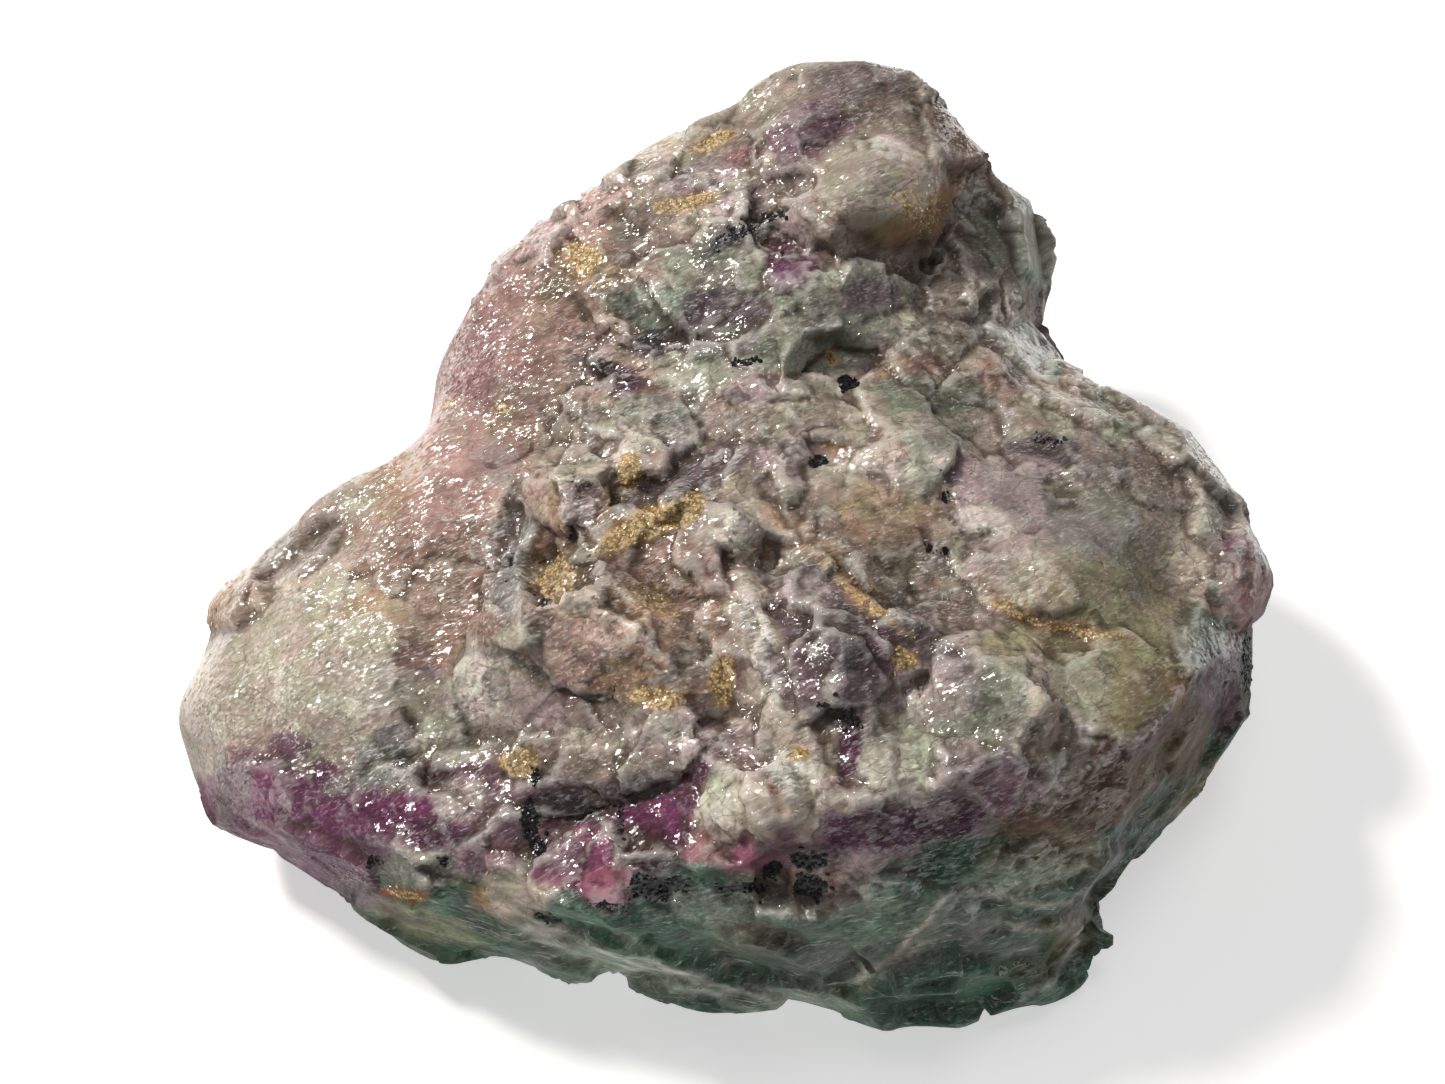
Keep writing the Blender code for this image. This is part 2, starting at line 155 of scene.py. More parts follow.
@dataclass(frozen=True)
class Viewpoint:
    """The camera, and the way from a point on the stone to its place in the picture.

    Sizes are in millimetres, angles in degrees and the picture in pixels.
    """

    elevation: float = 58.0
    lens: float = 40.0
    sensor: float = 36.0
    distance: float = 220.0
    target: tuple[float, float, float] = (-0.72, -3.34, 30.0)
    width: int = 1445
    height: int = 1084
    nearest: float = 10.0

    def axes(self) -> np.ndarray:
        """Right, up and backward, as rows."""
        rise = math.radians(self.elevation)
        up = (0.0, math.sin(rise), math.cos(rise))
        back = (0.0, -math.cos(rise), math.sin(rise))
        return np.array([(1.0, 0.0, 0.0), up, back])

    def eye(self) -> np.ndarray:
        """Where the camera stands."""
        return np.array(self.target) + self.distance * self.axes()[2]

    def focal(self) -> float:
        """The focal length in pixels."""
        return self.lens / self.sensor * self.width

    def project(self, points: np.ndarray) -> np.ndarray:
        """Places points in the picture.

        Args:
            points: Rows of x, y, z in millimetres.

        Returns:
            Rows of pixel x, pixel y (down) and depth in millimetres.
        """
        right, up, back = self.axes()
        offsets = points - self.eye()
        depth = -(offsets @ back)
        across = self.width / 2 + self.focal() * (offsets @ right) / depth
        down = self.height / 2 - self.focal() * (offsets @ up) / depth
        return np.stack([across, down, depth], axis=1)

    def sight(self, x: float, y: float) -> np.ndarray:
        """The direction from the eye through a pixel."""
        right, up, back = self.axes()
        across = right * (x - self.width / 2) / self.focal()
        line = across - up * (y - self.height / 2) / self.focal() - back
        return line / np.linalg.norm(line)

    def build(self) -> bpy.types.Object:
        """Makes the camera the scene's own.

        Returns:
            The camera.
        """
        data = bpy.data.cameras.new("camera")
        data.lens = self.lens
        data.sensor_width = self.sensor
        data.clip_start = self.nearest * MM
        camera = bpy.data.objects.new("camera", data)
        bpy.context.scene.collection.objects.link(camera)
        camera.location = Vector(self.eye()) * MM
        camera.rotation_euler = (math.radians(90 - self.elevation), 0, 0)
        bpy.context.scene.camera = camera
        return camera


@dataclass(frozen=True)
class Patch:
    """A patch of colour: its middle and half sizes in pixels, its turn in degrees, and its cover."""

    x: float
    y: float
    long: float
    wide: float
    turn: float
    tone: Tone
    cover: float = 1.0
    edge: float = 0.22


@dataclass(frozen=True)
class Spot:
    """A place where something lies on the stone, given as a patch is."""

    x: float
    y: float
    long: float
    wide: float
    turn: float
    mark: Mark
    cover: float = 1.0


@dataclass(frozen=True)
class Swell:
    """A form raised out of the skin or sunk in it: its rise in millimetres, and how soft its rim is."""

    x: float
    y: float
    long: float
    wide: float
    turn: float
    rise: float
    soft: float = 0.7


@dataclass(frozen=True)
class Face:
    """A flat crystal face or break, given as a patch is, and how nearly flat it is, from 0 to 1."""

    x: float
    y: float
    long: float
    wide: float
    turn: float
    flat: float = 0.8


@dataclass(frozen=True)
class Ledge:
    """A broken edge along a line of pixels: the side to the left of its run stands higher."""

    line: tuple[tuple[float, float], ...]
    rise: float
    width: float = 26.0
    lip: float = 2.5
    share: float = 0.6


@dataclass(frozen=True)
class Vein:
    """A thin line of colour across the stone."""

    line: tuple[tuple[float, float], ...]
    tone: Tone
    width: float
    cover: float = 0.8


# The stone's colours, from large patches to small ones. Each covers those before it.
PATCHES = (
    Patch(820, 105, 160, 62, -4, Tone.TAUPE),
    Patch(640, 180, 90, 40, 38, Tone.BEIGE),
    Patch(560, 250, 90, 40, 52, Tone.PINK),
    Patch(480, 380, 90, 60, 58, Tone.ROSE, 0.8),
    Patch(620, 330, 110, 60, 20, Tone.PINK_BROWN, 0.7),
    Patch(760, 320, 120, 70, 0, Tone.GREY_GREEN),
    Patch(930, 260, 110, 90, -40, Tone.TAUPE),
    Patch(420, 520, 130, 80, 50, Tone.PINK_BROWN),
    Patch(290, 650, 140, 90, 25, Tone.CREAM),
    Patch(600, 620, 170, 110, -15, Tone.PINK_BROWN),
    Patch(860, 480, 160, 90, -25, Tone.BEIGE),
    Patch(1080, 520, 160, 130, -20, Tone.BEIGE),
    Patch(850, 640, 110, 90, 0, Tone.SMOKE),
    Patch(1090, 680, 120, 70, -5, Tone.MOSS),
    Patch(560, 740, 150, 60, -8, Tone.TAUPE),
    Patch(300, 820, 120, 60, -18, Tone.PURPLE),
    Patch(480, 810, 130, 50, -4, Tone.MAUVE),
    Patch(700, 830, 150, 50, 0, Tone.MAUVE),
    Patch(930, 815, 110, 42, 18, Tone.MAUVE),
    Patch(1160, 740, 100, 60, 40, Tone.BROWN),
    Patch(740, 960, 420, 70, -10, Tone.GREEN),
    Patch(1020, 920, 180, 90, 20, Tone.GREEN),
    # The far crest.
    Patch(810, 130, 46, 30, 20, Tone.MAUVE),
    Patch(760, 92, 46, 20, 28, Tone.BEIGE),
    Patch(870, 78, 60, 18, 0, Tone.SMOKE, 0.7),
    Patch(925, 72, 24, 16, -30, Tone.BEIGE),
    Patch(948, 112, 18, 44, 14, Tone.BROWN),
    Patch(700, 122, 46, 14, 38, Tone.CREAM, 0.7),
    Patch(714, 138, 26, 10, 25, Tone.TAN),
    Patch(738, 158, 16, 11, 0, Tone.ROSE),
    Patch(700, 180, 40, 18, 15, Tone.LILAC),
    Patch(682, 205, 40, 9, 12, Tone.TAN),
    Patch(640, 222, 50, 16, 20, Tone.TAUPE),
    Patch(590, 222, 36, 22, 45, Tone.PINK),
    # The big cloudy knob at the far right, and the lobe behind it.
    Patch(882, 192, 66, 50, 0, Tone.CREAM),
    Patch(860, 176, 40, 26, 10, Tone.BEIGE),
    Patch(905, 226, 34, 14, 24, Tone.TAN),
    Patch(892, 150, 18, 11, 0, Tone.FROST, 0.7),
    Patch(944, 205, 12, 34, -18, Tone.AMBER),
    Patch(975, 160, 20, 22, 0, Tone.BROWN, 0.7),
    Patch(990, 250, 40, 62, 10, Tone.TAUPE),
    Patch(985, 225, 18, 46, 12, Tone.GREY_GREEN, 0.8),
    Patch(1036, 240, 24, 50, 4, Tone.SEAFOAM),
    Patch(1040, 222, 14, 24, 8, Tone.PALE_GREEN),
    Patch(1022, 345, 40, 26, -35, Tone.FROST),
    Patch(1052, 366, 16, 10, -30, Tone.GREEN),
    Patch(990, 300, 36, 22, 0, Tone.BEIGE),
    Patch(905, 262, 60, 16, 6, Tone.TAUPE),
    # The middle of the far slope.
    Patch(590, 262, 32, 24, 0, Tone.TAN),
    Patch(540, 292, 44, 18, 30, Tone.OLIVE_BROWN, 0.8),
    Patch(565, 320, 50, 22, 12, Tone.PINK_BROWN),
    Patch(655, 252, 50, 20, 8, Tone.TAUPE),
    Patch(700, 260, 44, 20, 15, Tone.GREY_GREEN),
    Patch(745, 232, 46, 13, 28, Tone.CHARCOAL),
    Patch(1042, 232, 22, 50, 4, Tone.PALE_GREEN, 0.9),
    Patch(1018, 345, 44, 22, -35, Tone.FROST, 0.8),
    Patch(784, 265, 28, 30, 0, Tone.PLUM, 1.0, 0.1),
    Patch(784, 268, 20, 20, 0, Tone.PURPLE, 0.5, 0.3),
    Patch(752, 270, 11, 24, -20, Tone.PALE_GREEN),
    Patch(640, 300, 44, 18, 0, Tone.TAUPE),
    Patch(660, 308, 46, 20, 0, Tone.SEAFOAM, 0.8),
    Patch(668, 338, 42, 18, 12, Tone.CHARCOAL),
    Patch(725, 312, 44, 26, 0, Tone.SMOKE),
    Patch(735, 340, 40, 14, 5, Tone.STEEL),
    Patch(850, 292, 52, 32, 0, Tone.GREY_GREEN, 0.7),
    Patch(868, 300, 30, 22, 0, Tone.SMOKE),
    Patch(868, 300, 26, 14, 0, Tone.SMOKE),
    Patch(800, 335, 40, 26, 0, Tone.GREY_GREEN),
    Patch(905, 330, 60, 20, -6, Tone.PALE_GREEN, 0.8),
    Patch(615, 376, 32, 15, -18, Tone.PLUM),
    Patch(600, 366, 20, 9, -18, Tone.CHARCOAL),
    Patch(720, 375, 60, 16, 4, Tone.PALE_GREEN, 0.8),
    Patch(760, 392, 40, 16, 0, Tone.LILAC),
    Patch(893, 366, 16, 9, -10, Tone.TAN),
    Patch(832, 354, 8, 8, 0, Tone.OCHRE),
    Patch(960, 345, 30, 18, -20, Tone.BEIGE),
    # The left shoulder.
    Patch(500, 300, 30, 60, -38, Tone.PINK, 0.7),
    Patch(470, 350, 40, 50, -30, Tone.ROSE, 0.7),
    Patch(430, 440, 50, 60, -40, Tone.PINK),
    Patch(520, 440, 24, 60, 10, Tone.PINK_BROWN),
    Patch(500, 470, 26, 30, 0, Tone.LILAC, 0.7),
    Patch(455, 500, 36, 50, -20, Tone.PINK),
    Patch(508, 560, 22, 66, -6, Tone.STEEL),
    Patch(390, 480, 26, 40, -40, Tone.TAN, 0.6),
    Patch(350, 500, 30, 26, 40, Tone.BEIGE),
    Patch(400, 560, 46, 36, 20, Tone.PINK_BROWN),
    Patch(375, 615, 36, 26, 0, Tone.TAN, 0.8),
    Patch(305, 545, 50, 22, 38, Tone.TAUPE),
    Patch(236, 598, 36, 26, 46, Tone.TAN),
    Patch(226, 612, 26, 16, 40, Tone.AMBER),
    Patch(246, 590, 16, 12, 40, Tone.PINK, 0.6),
    Patch(206, 640, 8, 34, 20, Tone.BROWN),
    # The broad cream lobe at the left.
    Patch(270, 630, 60, 26, 24, Tone.CREAM),
    Patch(330, 660, 60, 40, 20, Tone.CREAM),
    Patch(215, 700, 38, 50, 0, Tone.CREAM),
    Patch(200, 740, 22, 40, 16, Tone.BEIGE),
    Patch(360, 690, 60, 26, 18, Tone.PALE, 0.6),
    Patch(320, 740, 70, 26, 6, Tone.BEIGE),
    Patch(290, 745, 24, 14, 0, Tone.MAUVE),
    Patch(400, 750, 50, 26, 18, Tone.STEEL),
    Patch(440, 700, 36, 22, 30, Tone.BEIGE),
    Patch(430, 640, 40, 30, 0, Tone.PINK_BROWN),
    # The hollow and the knobs round it.
    Patch(575, 455, 40, 24, 10, Tone.BEIGE),
    Patch(620, 428, 56, 30, 0, Tone.PALE, 0.6),
    Patch(655, 410, 44, 16, -8, Tone.GREY_GREEN),
    Patch(680, 430, 24, 26, 0, Tone.STEEL, 0.7),
    Patch(583, 505, 30, 42, 0, Tone.TAN),
    Patch(580, 506, 23, 34, 0, Tone.LILAC, 1.0, 0.1),
    Patch(576, 470, 26, 12, 0, Tone.BEIGE),
    Patch(630, 470, 12, 14, 0, Tone.OCHRE),
    Patch(622, 495, 12, 14, 0, Tone.OLIVE_BROWN),
    # The dark olive-brown in the hollow is partly its own colour and partly painted shade, where the hollow
    # lies in shadow.
    Patch(565, 572, 34, 34, 0, Tone.OLIVE_BROWN),
    Patch(545, 590, 18, 14, 0, Tone.BROWN),
    Patch(680, 485, 66, 20, 26, Tone.SMOKE),
    Patch(645, 527, 54, 16, 20, Tone.OCHRE),
    Patch(690, 505, 14, 14, 0, Tone.OCHRE),
    Patch(726, 528, 36, 22, 0, Tone.PALE, 0.8),
    Patch(765, 545, 10, 13, 20, Tone.BROWN),
    Patch(790, 456, 36, 20, 0, Tone.LILAC),
    Patch(730, 455, 34, 14, 16, Tone.MAUVE, 0.7),
    Patch(690, 590, 60, 38, 0, Tone.PINK_BROWN),
    Patch(650, 600, 30, 18, -20, Tone.TAN),
    Patch(585, 640, 60, 42, -16, Tone.BLUSH),
    Patch(600, 610, 40, 16, -10, Tone.TAN, 0.6),
    Patch(520, 640, 34, 16, 14, Tone.BEIGE),
    Patch(520, 678, 50, 16, -28, Tone.TAUPE),
    Patch(560, 700, 40, 18, -36, Tone.MAUVE, 0.5),
    Patch(640, 676, 56, 28, 0, Tone.AMBER, 0.75),
    Patch(690, 660, 26, 24, 0, Tone.TAUPE),
    Patch(722, 684, 14, 26, 0, Tone.OCHRE),
    Patch(655, 700, 26, 9, -14, Tone.OCHRE),
    # The front of the crust.
    Patch(475, 690, 32, 40, 0, Tone.PALE),
    Patch(520, 712, 44, 26, -10, Tone.LILAC, 0.7),
    Patch(680, 742, 58, 32, 6, Tone.LILAC),
    Patch(655, 730, 30, 18, 0, Tone.PALE, 0.6),
    Patch(600, 765, 66, 20, 0, Tone.TAUPE),
    Patch(590, 745, 30, 12, 0, Tone.BEIGE),
    Patch(440, 742, 36, 26, 10, Tone.PALE_GREEN),
    Patch(522, 765, 17, 13, 0, Tone.OCHRE, 0.8),
    Patch(540, 780, 10, 10, 0, Tone.CHARCOAL),
    Patch(775, 690, 118, 24, -71, Tone.CREAM),
    Patch(765, 650, 60, 13, -71, Tone.FROST, 0.8),
    Patch(790, 770, 40, 16, -40, Tone.FROST, 0.6),
    Patch(802, 600, 30, 20, -10, Tone.LILAC),
    Patch(830, 665, 56, 46, 0, Tone.MAUVE),
    Patch(845, 640, 40, 26, 0, Tone.SMOKE),
    Patch(880, 650, 16, 40, 10, Tone.PLUM, 0.7),
    Patch(842, 716, 20, 14, -10, Tone.CHARCOAL),
    Patch(850, 760, 16, 36, -6, Tone.PLUM),
    Patch(830, 560, 90, 16, -42, Tone.TAN, 0.7),
    Patch(862, 596, 70, 5, -44, Tone.OCHRE, 0.5),
    Patch(870, 540, 70, 30, -40, Tone.TAUPE),
    Patch(903, 662, 13, 11, -20, Tone.OCHRE),
    Patch(800, 745, 40, 20, -30, Tone.BEIGE, 0.6),
    # The right plateau.
    Patch(900, 462, 50, 28, 0, Tone.PALE),
    Patch(885, 450, 26, 18, 0, Tone.PINK, 0.6),
    Patch(935, 440, 40, 14, 0, Tone.GREY_GREEN, 0.8),
    Patch(930, 395, 60, 22, -4, Tone.GREEN, 0.6),
    Patch(820, 420, 60, 22, -6, Tone.BEIGE),
    Patch(830, 450, 16, 6, 0, Tone.TAN),
    Patch(890, 510, 50, 30, -10, Tone.TAN, 0.6),
    Patch(994, 376, 14, 26, 6, Tone.PINK_BROWN),
    Patch(1075, 400, 54, 20, -12, Tone.CREAM),
    Patch(1120, 420, 40, 22, -30, Tone.PALE_GREEN, 0.8),
    Patch(1045, 448, 42, 16, 0, Tone.SMOKE),
    Patch(1030, 470, 40, 10, -10, Tone.LILAC),
    Patch(1150, 470, 46, 28, -38, Tone.TAUPE),
    Patch(1100, 470, 30, 18, 0, Tone.SMOKE, 0.6),
    Patch(1000, 500, 56, 36, 0, Tone.LILAC),
    Patch(985, 520, 30, 18, 0, Tone.PALE, 0.7),
    Patch(1095, 520, 48, 40, 0, Tone.STEEL, 0.8),
    Patch(1110, 500, 30, 20, 0, Tone.GREY_GREEN),
    Patch(1020, 580, 62, 26, -14, Tone.CREAM),
    Patch(990, 555, 30, 16, -10, Tone.LILAC, 0.7),
    Patch(1115, 600, 62, 42, -10, Tone.MOSS, 0.8),
    Patch(1150, 560, 30, 40, 0, Tone.TAUPE, 0.5),
    Patch(940, 590, 30, 54, 34, Tone.TAUPE),
    Patch(1015, 612, 40, 9, -22, Tone.TAN),
    Patch(1080, 630, 64, 8, -9, Tone.AMBER),
    Patch(1110, 690, 70, 52, 0, Tone.MOSS, 0.6, 0.6),
    Patch(1070, 690, 40, 40, 0, Tone.GREY_GREEN, 0.6),
    Patch(1060, 720, 22, 26, 0, Tone.CREAM),
    Patch(1086, 736, 12, 14, 0, Tone.FROST),
    Patch(1060, 770, 36, 14, 12, Tone.STEEL, 0.7),
    Patch(975, 700, 74, 46, 0, Tone.GREY_GREEN),
    Patch(932, 690, 38, 34, 0, Tone.LILAC, 0.8),
    Patch(1036, 680, 16, 40, 6, Tone.CREAM),
    Patch(900, 760, 36, 46, -34, Tone.PALE_GREEN),
    Patch(985, 786, 58, 30, 2, Tone.MAUVE),
    Patch(985, 800, 40, 18, 0, Tone.PLUM, 0.6),
    Patch(925, 832, 70, 16, 16, Tone.PLUM),
    Patch(860, 832, 50, 20, 10, Tone.PLUM),
    # The right end. Its lower wall lies in shadow, and the dark browns, plums and greens there are partly
    # painted shade.
    Patch(1216, 516, 30, 32, 0, Tone.PALE_GREEN),
    Patch(1190, 560, 20, 40, 0, Tone.CREAM),
    Patch(1236, 552, 38, 26, -30, Tone.LILAC),
    Patch(1240, 588, 30, 34, 0, Tone.ROSE),
    Patch(1235, 545, 24, 14, -20, Tone.MAUVE),
    Patch(1204, 634, 20, 50, -6, Tone.SEAFOAM),
    Patch(1182, 640, 12, 50, 0, Tone.OLIVE, 0.7),
    Patch(1247, 664, 11, 34, 0, Tone.BLACK),
    Patch(1222, 680, 26, 40, -40, Tone.PLUM),
    Patch(1160, 746, 84, 28, 34, Tone.PLUM, 0.7),
    Patch(1120, 780, 60, 16, 26, Tone.BROWN),
    Patch(1178, 694, 9, 20, 0, Tone.AMBER),
    Patch(1060, 820, 60, 18, 12, Tone.BROWN),
    Patch(1190, 760, 90, 40, 52, Tone.OLIVE_BROWN),
    Patch(1226, 730, 46, 16, 60, Tone.DEEP_GREEN),
    Patch(1150, 830, 80, 22, 46, Tone.DEEP_GREEN, 0.7),
    Patch(1196, 790, 46, 12, 52, Tone.MOSS, 0.6),
    Patch(1222, 700, 34, 22, -64, Tone.PLUM),
    Patch(1190, 640, 12, 30, 0, Tone.PALE_GREEN, 0.6),
    # The purple band.
    Patch(268, 800, 50, 42, -10, Tone.PURPLE),
    Patch(295, 830, 70, 42, -26, Tone.PURPLE),
    Patch(262, 786, 24, 18, -10, Tone.MAGENTA, 0.5),
    Patch(236, 790, 12, 40, -20, Tone.MAUVE),
    Patch(320, 862, 70, 30, -28, Tone.PURPLE, 0.9),
    Patch(365, 895, 40, 14, -24, Tone.MAUVE),
    Patch(400, 812, 84, 32, 4, Tone.PURPLE),
    Patch(420, 775, 26, 12, 12, Tone.PLUM),
    Patch(372, 775, 50, 14, 12, Tone.STEEL, 0.7),
    Patch(460, 800, 26, 22, 0, Tone.LILAC, 0.8),
    Patch(440, 838, 46, 16, -8, Tone.PLUM),
    Patch(430, 868, 46, 18, -4, Tone.GREY_GREEN),
    Patch(484, 860, 30, 20, 0, Tone.MAUVE),
    Patch(505, 868, 20, 22, 0, Tone.ORCHID, 0.5),
    Patch(560, 812, 46, 20, 8, Tone.CHARCOAL),
    Patch(535, 830, 14, 26, 0, Tone.BLACK, 0.8),
    Patch(585, 864, 58, 40, 0, Tone.MAGENTA),
    Patch(560, 850, 26, 24, 0, Tone.MAUVE),
    Patch(604, 884, 34, 20, 6, Tone.ORCHID),
    Patch(655, 815, 44, 30, 0, Tone.PURPLE),
    Patch(640, 850, 24, 22, 0, Tone.PLUM),
    Patch(640, 785, 50, 14, 10, Tone.CHARCOAL, 0.8),
    Patch(690, 780, 14, 28, -20, Tone.PLUM),
    Patch(735, 850, 52, 20, 0, Tone.ORCHID),
    Patch(710, 845, 22, 20, 0, Tone.ROSE),
    Patch(790, 842, 40, 14, 20, Tone.MAUVE),
    Patch(516, 895, 36, 24, -8, Tone.CREAM),
    Patch(480, 898, 14, 12, 0, Tone.TAN),
    Patch(405, 892, 26, 8, -8, Tone.RUST),
    Patch(680, 872, 26, 16, 0, Tone.STEEL, 0.6),
    Patch(745, 808, 46, 36, -6, Tone.CREAM),
    Patch(722, 800, 22, 30, 0, Tone.PALE_GREEN),
    Patch(802, 796, 34, 36, 10, Tone.CREAM),
    Patch(790, 772, 16, 12, 0, Tone.FROST),
    Patch(800, 758, 8, 8, 0, Tone.OCHRE),
    Patch(777, 800, 4, 15, 22, Tone.RUST),
    # The broken green wall.
    Patch(430, 925, 60, 16, -16, Tone.MOSS, 0.7),
    Patch(530, 935, 60, 16, -18, Tone.OLIVE, 0.6),
    Patch(540, 955, 50, 13, -16, Tone.DEEP_GREEN, 0.7),
    Patch(620, 975, 110, 20, -10, Tone.SEAFOAM),
    Patch(730, 905, 60, 26, -10, Tone.SEAFOAM, 0.7),
    Patch(700, 880, 26, 16, 0, Tone.GREEN),
    Patch(760, 945, 50, 24, -20, Tone.TAUPE, 0.6),
    Patch(870, 925, 76, 40, 26, Tone.SEAFOAM, 0.6),
    Patch(800, 985, 90, 26, -8, Tone.GREEN, 0.8),
    Patch(905, 880, 40, 16, 10, Tone.GREEN, 0.8),
    Patch(860, 960, 80, 20, 10, Tone.STEEL, 0.6),
    Patch(960, 858, 50, 22, 12, Tone.DEEP_GREEN),
    Patch(1045, 856, 62, 26, 10, Tone.MOSS, 0.7),
    Patch(1010, 880, 50, 20, 10, Tone.SEAFOAM, 0.7),
    Patch(1120, 872, 50, 20, 52, Tone.DEEP_GREEN),
    Patch(960, 920, 40, 24, 0, Tone.STEEL, 0.7),
    Patch(1020, 930, 50, 26, 20, Tone.STEEL, 0.6),
    Patch(1070, 940, 34, 30, 30, Tone.OLIVE),
    Patch(1020, 975, 40, 16, 20, Tone.OLIVE, 0.7),
    Patch(820, 1008, 70, 18, -10, Tone.SEAFOAM),
    Patch(940, 1000, 90, 26, 6, Tone.GREEN),
    Patch(1090, 890, 12, 60, -30, Tone.STEEL, 0.7),
)

# Where crumbs, black oxide and frost lie.
SPOTS = (
    Spot(745, 361, 16, 5, 0, Mark.OXIDE),
    Spot(845, 381, 11, 11, 0, Mark.OXIDE),
    Spot(818, 464, 9, 5, 0, Mark.OXIDE),
    Spot(943, 497, 3, 7, 0, Mark.OXIDE),
    Spot(932, 549, 5, 4, 0, Mark.OXIDE),
    Spot(950, 550, 4, 3, 0, Mark.OXIDE),
    Spot(745, 232, 40, 8, 28, Mark.OXIDE, 0.55),
    Spot(772, 216, 18, 6, 0, Mark.OXIDE, 0.6),
    Spot(545, 604, 6, 5, 0, Mark.OXIDE),
    Spot(532, 824, 9, 22, 0, Mark.OXIDE),
    Spot(540, 845, 8, 12, 0, Mark.OXIDE),
    Spot(537, 778, 6, 9, 0, Mark.OXIDE),
    Spot(622, 812, 8, 20, 0, Mark.OXIDE, 0.55),
    Spot(640, 884, 13, 14, 0, Mark.OXIDE),
    Spot(668, 886, 22, 12, 0, Mark.OXIDE, 0.7),
    Spot(662, 900, 18, 8, 0, Mark.OXIDE, 0.6),
    Spot(610, 905, 26, 5, -6, Mark.OXIDE, 0.6),
    Spot(545, 921, 18, 4, -10, Mark.OXIDE, 0.7),
    Spot(770, 872, 14, 8, 20, Mark.OXIDE, 0.8),
    Spot(808, 858, 20, 8, 0, Mark.OXIDE),
    Spot(812, 884, 20, 14, -8, Mark.OXIDE),
    Spot(742, 888, 26, 5, 0, Mark.OXIDE, 0.7),
    Spot(850, 718, 14, 8, -30, Mark.OXIDE, 0.7),
    Spot(828, 706, 10, 6, 0, Mark.OXIDE, 0.6),
    Spot(1247, 662, 7, 28, 4, Mark.OXIDE),
    Spot(375, 856, 7, 4, 0, Mark.OXIDE),
    Spot(442, 862, 6, 5, 0, Mark.OXIDE),
    Spot(1045, 440, 26, 8, 0, Mark.OXIDE, 0.5),
    Spot(650, 526, 52, 13, 22, Mark.CRUMB),
    Spot(690, 504, 14, 16, 0, Mark.CRUMB),
    Spot(630, 470, 12, 15, 0, Mark.CRUMB),
    Spot(556, 576, 26, 26, 0, Mark.CRUMB, 0.55),
    Spot(660, 606, 30, 18, -20, Mark.CRUMB, 0.45),
    Spot(722, 682, 13, 24, 0, Mark.CRUMB),
    Spot(655, 700, 30, 9, -14, Mark.CRUMB),
    Spot(855, 590, 84, 6, -43, Mark.CRUMB, 0.45),
    Spot(903, 662, 13, 11, -20, Mark.CRUMB),
    Spot(800, 758, 8, 8, 0, Mark.CRUMB),
    Spot(522, 765, 16, 12, 0, Mark.CRUMB),
    Spot(504, 409, 10, 6, 0, Mark.CRUMB, 0.8),
    Spot(450, 403, 8, 6, 0, Mark.CRUMB, 0.7),
    Spot(584, 256, 20, 22, 20, Mark.CRUMB, 0.7),
    Spot(714, 138, 24, 9, 25, Mark.CRUMB, 0.8),
    Spot(682, 205, 36, 8, 12, Mark.CRUMB, 0.7),
    Spot(925, 210, 24, 30, 40, Mark.CRUMB, 0.5),
    Spot(832, 354, 7, 7, 0, Mark.CRUMB, 0.8),
    Spot(405, 892, 24, 6, -8, Mark.CRUMB, 0.7),
    Spot(1080, 630, 66, 5, -9, Mark.CRUMB, 0.6),
    Spot(1015, 612, 36, 6, -22, Mark.CRUMB, 0.6),
    Spot(583, 507, 26, 36, 0, Mark.FROST),
    Spot(320, 680, 130, 60, 22, Mark.FROST, 0.75),
    Spot(350, 770, 90, 40, 16, Mark.FROST, 0.8),
    Spot(480, 560, 50, 90, -6, Mark.FROST, 0.7),
    Spot(335, 862, 50, 20, -20, Mark.FROST, 0.8),
    Spot(290, 770, 50, 16, -10, Mark.FROST, 0.6),
    Spot(475, 690, 30, 34, 0, Mark.FROST, 0.8),
    Spot(590, 640, 60, 44, -16, Mark.FROST, 0.7),
    Spot(765, 650, 70, 16, -71, Mark.FROST, 0.9),
    Spot(790, 775, 22, 22, 0, Mark.FROST, 0.8),
    Spot(850, 590, 90, 40, -42, Mark.FROST, 0.5),
    Spot(950, 590, 30, 60, 34, Mark.FROST, 0.6),
    Spot(700, 480, 70, 26, 26, Mark.FROST, 0.6),
    Spot(620, 430, 60, 36, 0, Mark.FROST, 0.6),
    Spot(480, 380, 60, 60, 50, Mark.FROST, 0.5),
    Spot(700, 190, 60, 30, 20, Mark.FROST, 0.6),
    Spot(600, 350, 60, 40, 0, Mark.FROST, 0.5),
    Spot(640, 600, 80, 30, 0, Mark.FROST, 0.6),
    Spot(700, 745, 60, 30, 0, Mark.FROST, 0.5),
    Spot(1190, 480, 60, 40, -40, Mark.FROST, 0.5),
    Spot(440, 800, 70, 50, 0, Mark.FROST, 0.6),
    Spot(940, 690, 60, 30, 0, Mark.FROST, 0.4),
)

